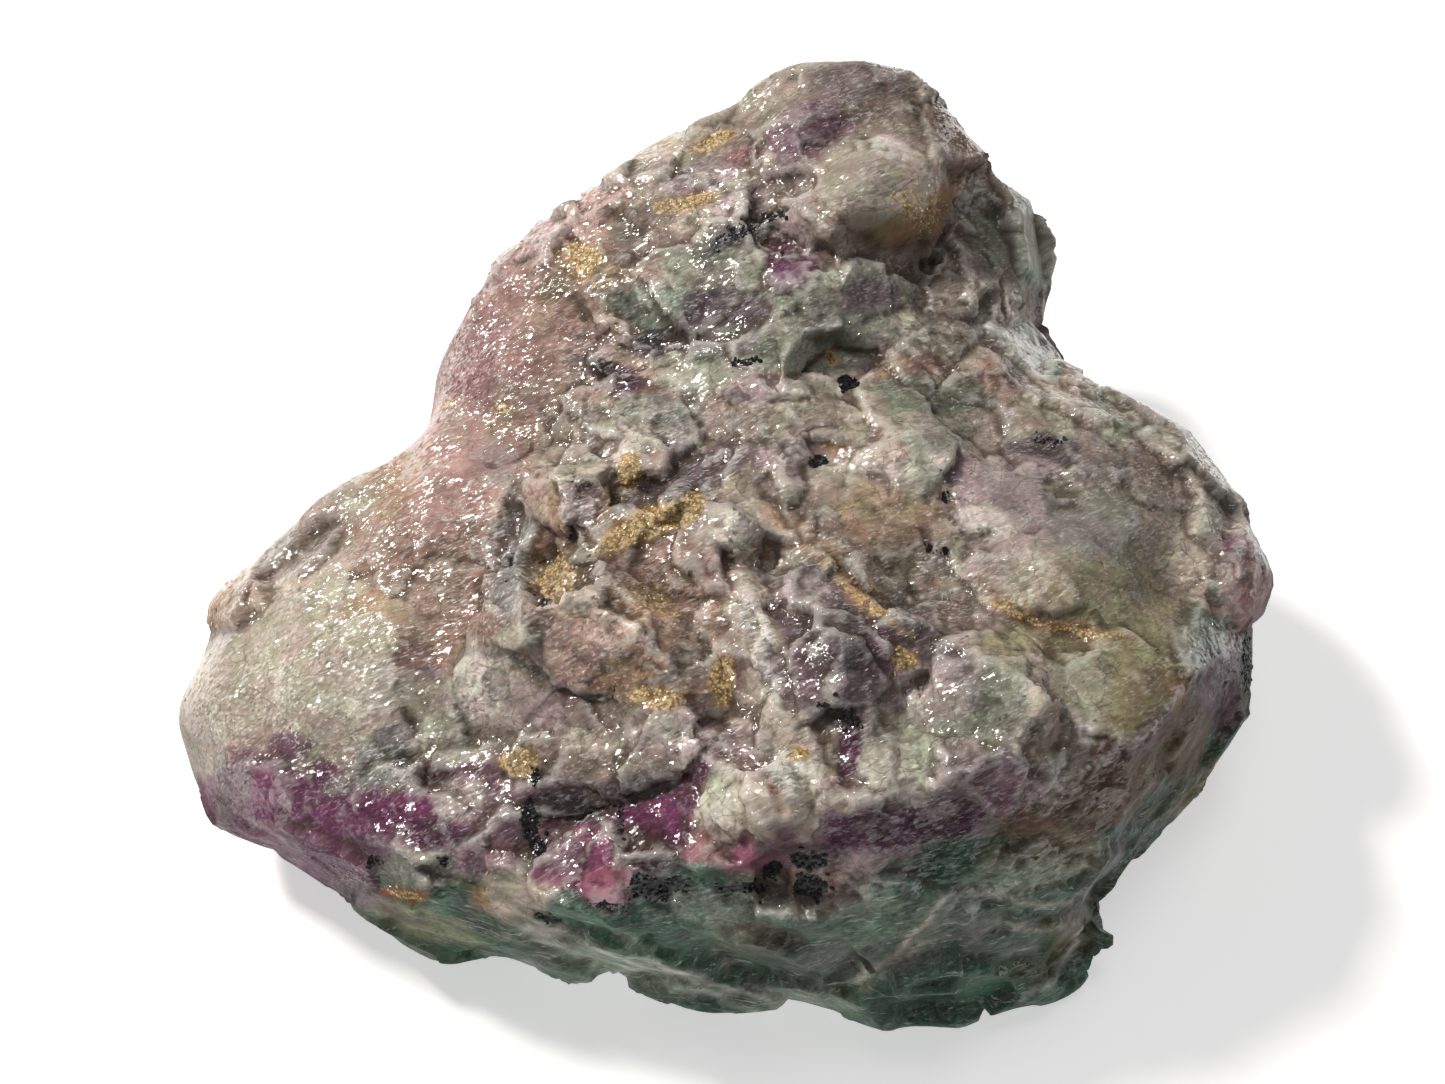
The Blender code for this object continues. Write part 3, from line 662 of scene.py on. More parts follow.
# The knobs and hollows of the crust.
SWELLS = (
    Swell(584, 505, 30, 42, 0, 1.4, 0.5),
    Swell(630, 470, 13, 15, 0, 1.6, 0.6),
    Swell(565, 575, 30, 32, 0, -1.6, 0.8),
    Swell(726, 528, 38, 24, 0, 1.2, 0.5),
    Swell(766, 545, 10, 12, 0, 0.9, 0.6),
    Swell(645, 527, 56, 17, 20, 0.8, 0.4),
    Swell(585, 640, 62, 42, -16, 1.3, 0.35),
    Swell(645, 678, 56, 26, 0, -0.8, 0.6),
    Swell(680, 745, 62, 32, 6, 1.4, 0.5),
    Swell(475, 690, 32, 38, 0, 1.2, 0.6),
    Swell(522, 765, 17, 14, 0, 1.2, 0.6),
    Swell(830, 662, 62, 52, 0, 1.4, 0.6),
    Swell(803, 598, 30, 22, -10, 1.0, 0.5),
    Swell(862, 596, 80, 8, -43, 0.5, 0.6),
    Swell(745, 808, 48, 38, -6, 1.3, 0.5),
    Swell(804, 798, 36, 40, 10, 1.2, 0.5),
    Swell(735, 850, 50, 20, 0, 0.9, 0.5),
    Swell(585, 866, 60, 42, 0, 1.0, 0.5),
    Swell(516, 896, 36, 22, -8, 1.2, 0.5),
    Swell(280, 812, 66, 44, -20, 1.0, 0.6),
    Swell(972, 706, 80, 54, 0, 1.2, 0.3),
    Swell(985, 788, 60, 30, 2, 0.9, 0.3),
    Swell(1110, 690, 74, 54, 0, 0.8, 0.5),
    Swell(1086, 736, 12, 14, 0, 0.7, 0.6),
    Swell(900, 462, 52, 30, 0, 1.1, 0.4),
    Swell(995, 378, 15, 26, 0, 1.2, 0.5),
    Swell(1095, 525, 52, 44, 0, 1.2, 0.7),
    Swell(1020, 575, 70, 34, -12, 0.9, 0.4),
    Swell(1045, 450, 30, 10, 0, -1.0, 0.8),
    Swell(1238, 575, 36, 46, 0, 1.2, 0.5),
    Swell(1204, 630, 18, 50, -6, 0.6, 0.5),
    Swell(882, 194, 66, 50, 0, 1.4, 0.6),
    Swell(784, 266, 26, 26, 0, 3.0, 0.6),
    Swell(615, 376, 36, 20, -18, 2.4, 0.6),
    Swell(850, 292, 52, 30, 0, 0.9, 0.6),
    Swell(990, 250, 36, 60, 10, 0.8, 0.6),
    Swell(760, 390, 44, 18, 0, 0.9, 0.5),
    Swell(650, 420, 66, 34, 0, 1.0, 0.6),
    Swell(790, 456, 36, 20, 0, 0.9, 0.5),
    Swell(236, 602, 36, 26, 46, 2.0, 0.4),
    Swell(800, 130, 50, 34, 20, 1.0, 0.6),
    Swell(700, 182, 40, 20, 15, 0.8, 0.6),
    Swell(565, 812, 50, 22, 8, 1.8, 0.6),
    Swell(870, 925, 80, 42, 26, 0.9, 0.25),
    Swell(1050, 950, 60, 44, 30, -0.8, 0.3),
    Swell(960, 860, 50, 20, 12, -0.7, 0.4),
)

# The flat crystal faces and breaks. Each works on what those before it leave.
FACES = (
    Face(585, 640, 64, 42, -16, 0.75),
    Face(583, 505, 27, 38, 0),
    Face(645, 598, 54, 32, -25, 0.7),
    Face(706, 600, 40, 30, 10, 0.6),
    Face(972, 706, 76, 50, 0),
    Face(1000, 498, 60, 34, 0, 0.7),
    Face(1020, 580, 62, 26, -14),
    Face(1110, 690, 66, 50, 0, 0.7),
    Face(985, 790, 58, 28, 2),
    Face(900, 462, 50, 26, 0, 0.7),
    Face(870, 515, 60, 34, -40, 0.7),
    Face(650, 420, 60, 34, 0, 0.6),
    Face(745, 808, 44, 34, -6, 0.5),
    Face(804, 798, 32, 34, 10, 0.5),
    Face(680, 745, 56, 28, 6, 0.6),
    Face(640, 680, 52, 26, 0, 0.6),
    Face(775, 690, 110, 20, -71, 0.6),
    Face(520, 700, 40, 30, 0, 0.6),
    Face(870, 925, 78, 40, 26, 0.9),
    Face(760, 960, 60, 28, -20, 0.9),
    Face(620, 962, 95, 22, -12, 0.9),
    Face(960, 860, 52, 22, 12, 0.9),
    Face(1042, 862, 62, 26, 10, 0.8),
    Face(1112, 872, 52, 22, 50, 0.9),
    Face(1000, 930, 60, 30, 0, 0.9),
    Face(1070, 952, 34, 30, 30, 0.9),
    Face(480, 912, 80, 22, -16, 0.9),
    Face(700, 900, 52, 24, 0, 0.8),
    Face(940, 990, 80, 30, 6, 0.9),
    Face(820, 1002, 60, 20, -10, 0.9),
    Face(1160, 805, 62, 24, 44, 0.9),
    Face(1203, 735, 60, 20, 55, 0.9),
    Face(262, 800, 42, 36, -10, 0.6),
    Face(322, 855, 62, 26, -28, 0.7),
    Face(400, 806, 60, 22, 4, 0.7),
    Face(585, 866, 50, 36, 0, 0.6),
    Face(655, 815, 40, 28, 0, 0.7),
    Face(930, 820, 60, 22, 16, 0.7),
    Face(990, 250, 34, 56, 10),
    Face(1036, 240, 22, 46, 4, 0.9),
    Face(1022, 345, 38, 24, -35, 0.9),
    Face(850, 292, 50, 28, 0, 0.7),
    Face(725, 312, 44, 26, 0, 0.7),
    Face(784, 266, 24, 26, 0),
    Face(752, 268, 12, 24, -20, 0.9),
    Face(760, 390, 44, 18, 0, 0.7),
    Face(690, 376, 46, 16, 8, 0.7),
    Face(920, 330, 60, 20, -6, 0.6),
    Face(820, 420, 60, 22, -6, 0.6),
    Face(1075, 400, 54, 20, -12, 0.7),
    Face(1150, 470, 46, 28, -38, 0.7),
    Face(1215, 516, 28, 30, 0),
    Face(1238, 582, 32, 40, 0, 0.5),
    Face(1204, 634, 18, 46, -6),
    Face(1222, 680, 24, 36, -40),
    Face(236, 602, 34, 24, 46, 0.6),
    Face(305, 550, 48, 20, 38, 0.7),
    Face(508, 560, 22, 60, -6, 0.7),
    Face(680, 485, 62, 18, 26, 0.6),
    Face(900, 760, 34, 44, -34, 0.7),
)

# Where the skin is smooth but for its finest grain. The tone isn't used here.
CALM = (
    Patch(290, 690, 170, 90, 25, Tone.CREAM),
    Patch(470, 430, 190, 66, 60, Tone.PINK, 0.85),
    Patch(345, 520, 120, 46, 46, Tone.BEIGE, 0.8),
    Patch(290, 820, 90, 60, -30, Tone.PURPLE, 0.7),
    Patch(1090, 540, 130, 100, -20, Tone.BEIGE, 0.8),
    Patch(990, 700, 110, 60, 0, Tone.BEIGE, 0.5),
    Patch(930, 450, 70, 40, 0, Tone.BEIGE, 0.6),
    Patch(870, 500, 80, 50, -40, Tone.BEIGE, 0.6),
    Patch(882, 192, 70, 54, 0, Tone.CREAM, 0.95),
    Patch(1110, 690, 80, 60, 0, Tone.MOSS, 0.8),
    Patch(840, 110, 100, 50, 0, Tone.TAUPE, 0.6),
    Patch(1036, 240, 40, 60, 0, Tone.SEAFOAM, 0.9),
)

# The broken edges between one plate of crust and the next.
LEDGES = (
    Ledge(((650, 640), (606, 700), (566, 712), (545, 690), (515, 668), (480, 652)), 0.6),
    Ledge(((540, 398), (547, 440), (536, 482), (528, 520), (518, 562), (498, 612)), -0.9),
    Ledge(((590, 554), (640, 548), (690, 524), (702, 496)), 0.8),
    Ledge(((690, 548), (700, 518), (730, 505), (756, 524), (776, 552)), -0.7),
    Ledge(((740, 726), (700, 706), (640, 712), (600, 738)), -0.8),
    Ledge(((820, 704), (850, 720), (888, 694), (898, 644)), 0.9),
    Ledge(((745, 570), (752, 640), (768, 704), (778, 764)), 0.8),
    Ledge(((960, 560), (1010, 612), (1062, 630), (1142, 642)), 0.9),
    Ledge(((888, 694), (930, 652), (1000, 647), (1044, 650), (1056, 722), (1050, 764)), -0.9),
    Ledge(((862, 440), (900, 428), (956, 436), (976, 452)), -0.8),
    Ledge(((700, 836), (740, 852), (792, 846), (832, 820)), 0.8),
    Ledge(((1196, 570), (1206, 602), (1230, 622), (1262, 626)), 0.8),
    Ledge(((822, 196), (850, 234), (900, 248), (940, 216), (946, 180)), 0.9),
    Ledge(((380, 905), (470, 925), (560, 930), (640, 900), (700, 885)), 0.6),
    Ledge(((840, 905), (930, 860), (1010, 838), (1080, 838), (1130, 790)), 0.7),
    Ledge(((500, 925), (580, 945), (660, 975), (730, 990), (800, 1015)), -0.8),
    Ledge(((800, 960), (860, 975), (920, 930), (945, 895)), 0.8),
    Ledge(((620, 590), (640, 640), (655, 645)), 0.5),
    Ledge(((480, 655), (530, 620), (580, 598)), -0.6),
    Ledge(((300, 555), (272, 600), (222, 640), (204, 660)), 0.6),
    Ledge(((980, 350), (1000, 345), (1030, 372)), -0.6),
    Ledge(((1000, 980), (1050, 930), (1090, 900)), 0.7),
    Ledge(((540, 440), (565, 400), (640, 392), (700, 410)), -0.6),
)

# Thin pale seams, and the dark lines under the edges.
VEINS = (
    Vein(((500, 922), (560, 932), (630, 962), (700, 982), (760, 1000), (800, 1020)), Tone.FROST, 5, 0.7),
    Vein(((520, 930), (600, 962), (660, 985), (720, 1000)), Tone.FROST, 4, 0.6),
    Vein(((640, 950), (680, 975), (730, 1005), (770, 1022)), Tone.FROST, 4, 0.5),
    Vein(((610, 930), (650, 950), (690, 985)), Tone.PALE, 3, 0.5),
    Vein(((945, 895), (925, 925), (880, 965), (845, 985)), Tone.PALE, 3, 0.7),
    Vein(((700, 940), (740, 975), (790, 1000), (840, 1020)), Tone.PALE, 3, 0.6),
    Vein(((980, 890), (1020, 905), (1080, 900)), Tone.PALE, 3, 0.6),
    Vein(((1096, 910), (1080, 945), (1060, 975), (1010, 1005)), Tone.FROST, 4, 0.7),
    Vein(((960, 950), (1000, 925), (1050, 930), (1090, 915)), Tone.PALE, 3, 0.5),
    Vein(((840, 1010), (900, 960), (960, 930)), Tone.PALE, 2.5, 0.5),
    Vein(((1196, 570), (1204, 602), (1228, 620), (1260, 626)), Tone.PINK, 3, 0.8),
    Vein(((1040, 650), (1052, 700), (1056, 740)), Tone.PINK, 3, 0.6),
    Vein(((960, 565), (1010, 610), (1062, 630), (1140, 640)), Tone.BROWN, 3, 0.8),
    Vein(((615, 588), (636, 622), (655, 640), (640, 660)), Tone.BROWN, 3, 0.8),
    Vein(((510, 668), (548, 690), (570, 712), (604, 702)), Tone.BROWN, 3, 0.7),
    Vein(((590, 554), (640, 548), (690, 526)), Tone.BROWN, 3, 0.6),
    Vein(((606, 462), (612, 490), (606, 528)), Tone.BROWN, 3, 0.7),
    Vein(((540, 400), (547, 432), (538, 462)), Tone.BROWN, 3, 0.6),
    Vein(((750, 560), (776, 556), (780, 540), (766, 525)), Tone.BROWN, 3, 0.6),
    Vein(((820, 190), (840, 228), (890, 247), (935, 225), (944, 195)), Tone.BROWN, 4, 0.7),
    Vein(((860, 436), (900, 427), (956, 434)), Tone.PALE, 3, 0.6),
    Vein(((930, 575), (945, 620), (960, 650)), Tone.BROWN, 3, 0.5),
    Vein(((1065, 668), (1080, 690), (1090, 720)), Tone.PALE, 2.5, 0.5),
    Vein(((980, 350), (992, 372), (990, 400)), Tone.BROWN, 3, 0.6),
    Vein(((230, 810), (268, 828), (306, 848)), Tone.LILAC, 2.5, 0.6),
    Vein(((690, 706), (740, 724), (760, 740)), Tone.BROWN, 2.5, 0.5),
    Vein(((1130, 790), (1080, 838), (1010, 840)), Tone.BROWN, 4, 0.5),
)


@dataclass
class LatticeNoise:
    """Smooth repeatable noise from -1 to 1, read anywhere in space."""

    seed: int
    cells: int = 48
    middle: float = 0.37
    shift: float = 17.3
    table: np.ndarray = field(init=False, repr=False)

    def __post_init__(self) -> None:
        """Fills the lattice."""
        random = np.random.default_rng(self.seed)
        self.table = random.uniform(-1, 1, (self.cells,) * 3)

    def at(self, points: np.ndarray, wavelength: float) -> np.ndarray:
        """One octave of noise.

        Args:
            points: Rows of x, y, z in millimetres.
            wavelength: The distance between lattice points, in millimetres.

        Returns:
            A value for each point, mostly within -0.7 to 0.7.
        """
        place = points / wavelength + self.middle * self.cells
        corner = np.floor(place).astype(int)
        share = place - corner
        share = share * share * share * (share * (share * 6 - 15) + 10)
        total = np.zeros(len(points))
        for step in np.ndindex(2, 2, 2):
            weight = np.prod(np.where(step, share, 1 - share), axis=1)
            i, j, k = ((corner + step) % self.cells).T
            total += weight * self.table[i, j, k]
        return total

    def octaves(self, points: np.ndarray, wavelength: float, count: int) -> np.ndarray:
        """Several octaves, each half as long and half as strong as the last."""
        turned = points
        total = np.zeros(len(points))
        for octave in range(count):
            total += self.at(turned, wavelength / 2**octave) / 2**octave
            turned = turned[:, (1, 2, 0)] * (1, -1, 1) + self.shift
        return total


@dataclass
class Skin:
    """The stone's fine surface, as arrays that can be worked on and written back.

    The foot is how high the skin is held still above the floor, in millimetres.
    """

    obj: bpy.types.Object
    foot: float = 1.2
    points: np.ndarray = field(init=False, repr=False)
    normals: np.ndarray = field(init=False, repr=False)
    edges: np.ndarray = field(init=False, repr=False)

    def __post_init__(self) -> None:
        """Reads the mesh."""
        mesh = self.obj.data
        count = len(mesh.vertices)
        flat = np.empty(count * 3)
        mesh.vertices.foreach_get("co", flat)
        self.points = flat.reshape(-1, 3) / MM
        ends = np.empty(len(mesh.edges) * 2, int)
        mesh.edges.foreach_get("vertices", ends)
        self.edges = ends.reshape(-1, 2)
        self.read_normals()

    def read_normals(self) -> None:
        """Reads the vertex normals again."""
        flat = np.empty(len(self.points) * 3)
        self.obj.data.vertex_normals.foreach_get("vector", flat)
        self.normals = flat.reshape(-1, 3)

    def write(self) -> None:
        """Puts the points back in the mesh."""
        self.obj.data.vertices.foreach_set("co", (self.points * MM).ravel())
        self.obj.data.update()
        self.read_normals()

    def relax(self, values: np.ndarray, passes: int) -> np.ndarray:
        """Averages values over the mesh, by half with each pass.

        Args:
            values: One row for each point.
            passes: How often each point takes the mean of its neighbours.

        Returns:
            The averaged values.
        """
        count = len(self.points)
        a, b = self.edges.T
        degree = np.bincount(np.concatenate([a, b]), minlength=count)
        shape = values.reshape(count, -1).astype(float)
        for _ in range(passes):
            rows = []
            for column in shape.T:
                total = np.bincount(a, column[b], count) + np.bincount(b, column[a], count)
                rows.append(0.5 * column + 0.5 * total / np.maximum(degree, 1))
            shape = np.stack(rows, axis=1)
        return shape.reshape(values.shape)

    def grounded(self) -> None:
        """Lifts what lies under the floor onto it, and writes the mesh."""
        self.points[:, 2] = np.maximum(self.points[:, 2], 0)
        self.write()

    def push(self, heights: np.ndarray) -> None:
        """Moves each point along its normal by so many millimetres, and keeps the foot on the floor."""
        foot = smooth_step(0.0, self.foot, self.points[:, 2])
        self.points = self.points + self.normals * (heights * foot)[:, None]
        self.grounded()

    def store(self, name: str, values: np.ndarray) -> None:
        """Keeps values on the mesh for the materials and the grains.

        Args:
            name: The attribute's name.
            values: A number, or a red, green and blue, for each point.
        """
        mesh = self.obj.data
        if values.ndim == 1:
            layer = mesh.attributes.new(name, "FLOAT", "POINT")
            layer.data.foreach_set("value", values.astype(np.float32))
            return
        colours = np.ones((len(values), 4), np.float32)
        colours[:, :3] = values
        layer = mesh.attributes.new(name, "FLOAT_COLOR", "POINT")
        layer.data.foreach_set("color", colours.ravel())


@dataclass
class Breaks:
    """The flat breaks of intergrown crystals: each point of the skin belongs to the nearest one.

    Sizes are in millimetres. The wander is how far a border strays, as a share of the spacing.
    """

    skin: Skin
    spacing: float
    seed: int
    wander: float = 0.25
    deepest: float = 1.6
    tilt_seed: int = 100
    shade_seed: int = 200
    seeds: np.ndarray = field(init=False, repr=False)
    owner: np.ndarray = field(init=False, repr=False)

    def __post_init__(self) -> None:
        """Strews the crystals over the skin and gives each its share."""
        points = self.skin.points
        random = np.random.default_rng(self.seed)
        spans = points[self.skin.edges[:, 0]] - points[self.skin.edges[:, 1]]
        area = len(points) * float((spans * spans).sum(axis=1).mean())
        count = int(area / self.spacing**2)
        self.seeds = random.choice(len(points), count, replace=False)
        noise = LatticeNoise(self.seed)
        drift = [noise.octaves(points + 40.0 * axis, self.spacing, 2) for axis in range(3)]
        strayed = points + self.wander * self.spacing * np.stack(drift, axis=1)
        tree = KDTree(count)
        for index, point in enumerate(points[self.seeds]):
            tree.insert(point, index)
        tree.balance()
        self.owner = np.fromiter((tree.find(point)[1] for point in strayed), int, len(points))

    def heights(self, slope: float, step: float) -> np.ndarray:
        """How far each point stands out when each crystal is tilted and raised at random.

        Args:
            slope: The usual tilt, as a rise over a run.
            step: The most that a crystal is raised or sunk, in millimetres.

        Returns:
            A height in millimetres for each point.
        """
        random = np.random.default_rng(self.seed + self.tilt_seed)
        tilts = random.normal(0, slope, (len(self.seeds), 3))
        rises = random.uniform(-step, step, len(self.seeds))
        offsets = self.skin.points - self.skin.points[self.seeds][self.owner]
        return rises[self.owner] + (tilts[self.owner] * offsets).sum(axis=1)

    def flats(self) -> np.ndarray:
        """Finds the move that lays each point on the mean plane of its crystal.

        Returns:
            A vector in millimetres for each point.
        """
        points = self.skin.points
        ways = self.mean(self.skin.normals)
        ways /= np.linalg.norm(ways, axis=1)[:, None] + TINY
        off = ((points - self.mean(points)) * ways).sum(axis=1)
        return -ways * np.clip(off, -self.deepest, self.deepest)[:, None]

    def mean(self, values: np.ndarray) -> np.ndarray:
        """Averages vectors over each crystal.

        Args:
            values: A vector for each point.

        Returns:
            The mean over its crystal, for each point.
        """
        count = len(self.seeds)
        sums = [np.bincount(self.owner, values[:, axis], count) for axis in range(3)]
        members = np.maximum(np.bincount(self.owner, minlength=count), 1)
        return (np.stack(sums, axis=1) / members[:, None])[self.owner]

    def borders(self) -> np.ndarray:
        """1 where two crystals meet, and 0 elsewhere, for each point."""
        ends = self.skin.edges
        meet = ends[self.owner[ends[:, 0]] != self.owner[ends[:, 1]]]
        edge = np.zeros(len(self.owner))
        edge[meet.ravel()] = 1.0
        return edge

    def shades(self) -> np.ndarray:
        """A random number from -1 to 1 for each point's crystal."""
        random = np.random.default_rng(self.seed + self.shade_seed)
        return random.uniform(-1, 1, len(self.seeds))[self.owner]


@dataclass
class Chart:
    """Where each point of the skin stands in the picture, with ragged edges for what is laid on it.

    Sizes are in pixels. The ragged edges stray by the fray, and large forms are drawn towards the middles
    of the crystals under them, so that their edges follow the breaks.
    """

    skin: Skin
    view: Viewpoint
    noise: LatticeNoise
    tree: BVHTree
    crystals: Breaks
    ragged: float = 0.6
    fray: float = 9.0
    draw: float = 0.6
    drawn: tuple[float, float] = (18, 36)
    scale: float = 7.0
    x: np.ndarray = field(init=False, repr=False)
    y: np.ndarray = field(init=False, repr=False)
    pull: np.ndarray = field(init=False, repr=False)

    def __post_init__(self) -> None:
        """Projects the skin and frays it."""
        points = self.skin.points
        places = self.view.project(points)
        wander = self.fray * self.noise.octaves(points, 5.0, 4)
        stray = self.fray * self.noise.octaves(points[:, (2, 0, 1)] + 31.0, 5.0, 4)
        self.x = places[:, 0] + self.ragged * wander
        self.y = places[:, 1] + self.ragged * stray
        middles = places[self.crystals.seeds[self.crystals.owner]]
        self.pull = self.draw * (middles - places)

    def anchor(self, x: float, y: float) -> np.ndarray | None:
        """The point of the stone under a pixel, or None off the stone."""
        hit = self.tree.ray_cast(Vector(self.view.eye()), Vector(self.view.sight(x, y)))[0]
        return None if hit is None else np.array(hit)

    def near(self, x: float, y: float, reach: float) -> np.ndarray:
        """Tells what is really close to the point under a pixel from what only lines up with it.

        Args:
            x: The pixel's place across.
            y: The pixel's place down.
            reach: How far the form there reaches, in pixels.

        Returns:
            1 for each point that is close, and 0 for one that isn't.
        """
        anchor = self.anchor(x, y)
        if anchor is None:
            return np.ones(len(self.x))
        limit = reach / self.scale * 1.35 + 5.0
        distance = np.linalg.norm(self.skin.points - anchor, axis=1)
        return smooth_step(limit * 1.25, limit, distance)

    def reach(self, form: Patch | Spot | Swell | Face) -> np.ndarray:
        """How far each point is from a form's middle.

        Args:
            form: What is laid on the skin.

        Returns:
            0 in the middle, 1 at the rim and more outside it, for each point.
        """
        turn = math.radians(form.turn)
        snap = smooth_step(*self.drawn, min(form.long, form.wide))
        across = self.x + snap * self.pull[:, 0] - form.x
        up = form.y - self.y - snap * self.pull[:, 1]
        along = (across * math.cos(turn) + up * math.sin(turn)) / form.long
        aside = (up * math.cos(turn) - across * math.sin(turn)) / form.wide
        return np.hypot(along, aside)

    def cover(self, form: Patch | Spot | Swell | Face, edge: float) -> np.ndarray:
        """How much a form covers each point, from 0 to 1, with a rim this soft."""
        share = smooth_step(1 + edge, 1 - edge, self.reach(form))
        return share * self.near(form.x, form.y, max(form.long, form.wide))

    def along_line(self, line: tuple[tuple[float, float], ...]) -> tuple[np.ndarray, np.ndarray]:
        """Measures the way to a line of pixels.

        Args:
            line: The line's corners.

        Returns:
            Each point's signed distance in pixels, positive to the left of the run, and its share of the
            way along, from 0 to 1.
        """
        best = np.full(len(self.x), FAR)
        signed = np.full(len(self.x), FAR)
        progress = np.zeros(len(self.x))
        lengths = [math.dist(a, b) for a, b in zip(line, line[1:])]
        done = 0.0
        for (ax, ay), (bx, by), length in zip(line, line[1:], lengths):
            dx, dy = (bx - ax) / length, (by - ay) / length
            px, py = self.x - ax, self.y - ay
            travel = np.clip(px * dx + py * dy, 0, length)
            off = np.hypot(px - travel * dx, py - travel * dy)
            side = np.where(px * dy - py * dx >= 0, 1.0, -1.0)
            closer = off < best
            best = np.where(closer, off, best)
            signed = np.where(closer, off * side, signed)
            progress = np.where(closer, (done + travel) / sum(lengths), progress)
            done += length
        middle = line[len(line) // 2]
        away = self.near(*middle, sum(lengths) / 2 + 20)
        return np.where(away > 0, signed, FAR), progress


@dataclass
class Lump:
    """The specimen's one piece of stone. Sizes are in millimetres.

    The plates and chips are its larger and smaller breaks, each with a tilt (a rise over a run) and a step.
    The looks are how many passes smooth the skin when a point is set against what is around it. The edges
    are how soft the rims of what is laid on the skin are. Kept is the share of the triangles that is left
    where the skin is thinned.
    """

    view: Viewpoint
    voxel: float = 0.68
    smoothing: int = 18
    weld: float = 0.01
    plate: float = 8.5
    chip: float = 4.0
    flattest: float = 2.5
    fewest: int = 12
    flatness: float = 0.85
    plate_tilt: float = 0.05
    plate_step: float = 0.12
    chip_tilt: float = 0.06
    chip_step: float = 0.05
    ripple: float = 0.03
    wide_look: int = 24
    close_look: int = 6
    face_edge: float = 0.1
    calm_edge: float = 0.4
    spot_edge: float = 0.45
    richness: float = 1.04
    darkest: float = 0.004
    kept: float = 0.77
    seed: int = 5
    skin: Skin = field(init=False, repr=False)
    chart: Chart = field(init=False, repr=False)
    coarse: Breaks = field(init=False, repr=False)
    medium: Breaks = field(init=False, repr=False)
    calm: np.ndarray = field(init=False, repr=False)

    def build(self, node: bpy.types.Object) -> bpy.types.Object:
        """Makes the dressed lump.

        Args:
            node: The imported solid, which is only read.

        Returns:
            The finished piece, with its attributes and no material yet.
        """
        obj = self.remeshed(node)
        self.skin = Skin(obj)
        self.skin.points = self.skin.relax(self.skin.points, self.smoothing)
        self.skin.grounded()
        self.coarse = Breaks(self.skin, self.plate, self.seed + 10)
        self.medium = Breaks(self.skin, self.chip, self.seed + 11)
        self.chart = self.chart_of(node)
        self.shape()
        self.chart = self.chart_of(node)
        self.paint()
        return self.thinned(obj)

    def chart_of(self, node: bpy.types.Object) -> Chart:
        """The skin's chart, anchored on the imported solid.

        Args:
            node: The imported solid.

        Returns:
            The chart of the skin as it is now.
        """
        tree = BVHTree.FromPolygons(
            [tuple(vertex.co / MM) for vertex in node.data.vertices],
            [tuple(face.vertices) for face in node.data.polygons],
        )
        return Chart(self.skin, self.view, LatticeNoise(self.seed), tree, self.medium)

    def remeshed(self, node: bpy.types.Object) -> bpy.types.Object:
        """A closed, even and finer copy of the solid.

        Args:
            node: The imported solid.

        Returns:
            The copy, with smooth shading.
        """
        work = bmesh.new()
        work.from_mesh(node.data)
        bmesh.ops.remove_doubles(work, verts=work.verts, dist=self.weld * MM)
        data = bpy.data.meshes.new("lump")
        work.to_mesh(data)
        work.free()
        obj = bpy.data.objects.new("lump", data)
        bpy.context.scene.collection.objects.link(obj)
        remesh = obj.modifiers.new("skin", "REMESH")
        remesh.mode = "VOXEL"
        remesh.voxel_size = self.voxel * MM
        made_plain(obj)
        faces = obj.data.polygons
        faces.foreach_set("use_smooth", np.ones(len(faces), bool))
        return obj

    def thinned(self, obj: bpy.types.Object) -> bpy.types.Object:
        """The piece with fewer triangles where it is flat."""
        thin = obj.modifiers.new("thin", "DECIMATE")
        thin.ratio = self.kept
        made_plain(obj)
        return obj

    def flatten(self) -> None:
        """Breaks the flat faces out of the skin."""
        skin, chart = self.skin, self.chart
        for face in FACES:
            share = chart.cover(face, self.face_edge)
            inside = share > 0.5
            if inside.sum() < self.fewest:
                continue
            middle = skin.points[inside].mean(axis=0)
            spread = skin.points[inside] - middle
            normal = np.linalg.eigh(spread.T @ spread)[1][:, 0]
            off = (skin.points - middle) @ normal
            move = np.clip(off, -self.flattest, self.flattest) * share * face.flat
            skin.points = skin.points - normal * move[:, None]
        skin.grounded()

    def raised(self) -> np.ndarray:
        """How far the knobs, hollows and ledges stand out of the skin.

        Returns:
            A height in millimetres for each point.
        """
        chart = self.chart
        heights = np.zeros(len(self.skin.points))
        for swell in SWELLS:
            rim = smooth_step(1.0, 1.0 - swell.soft, chart.reach(swell))
            heights += swell.rise * rim * chart.near(swell.x, swell.y, max(swell.long, swell.wide))
        for ledge in LEDGES:
            signed, progress = chart.along_line(ledge.line)
            fall = np.exp(-np.abs(signed) / ledge.width)
            side = 2 * smooth_step(-ledge.lip, ledge.lip, signed) - 1
            heights += ledge.rise * tapered(progress, 0.15) * fall * side * ledge.share
        return heights

    def calmness(self) -> np.ndarray:
        """How smooth each point of the skin is, from 0 to 1."""
        calm = np.zeros(len(self.skin.points))
        for lobe in CALM:
            calm = np.maximum(calm, lobe.cover * self.chart.cover(lobe, self.calm_edge))
        return calm

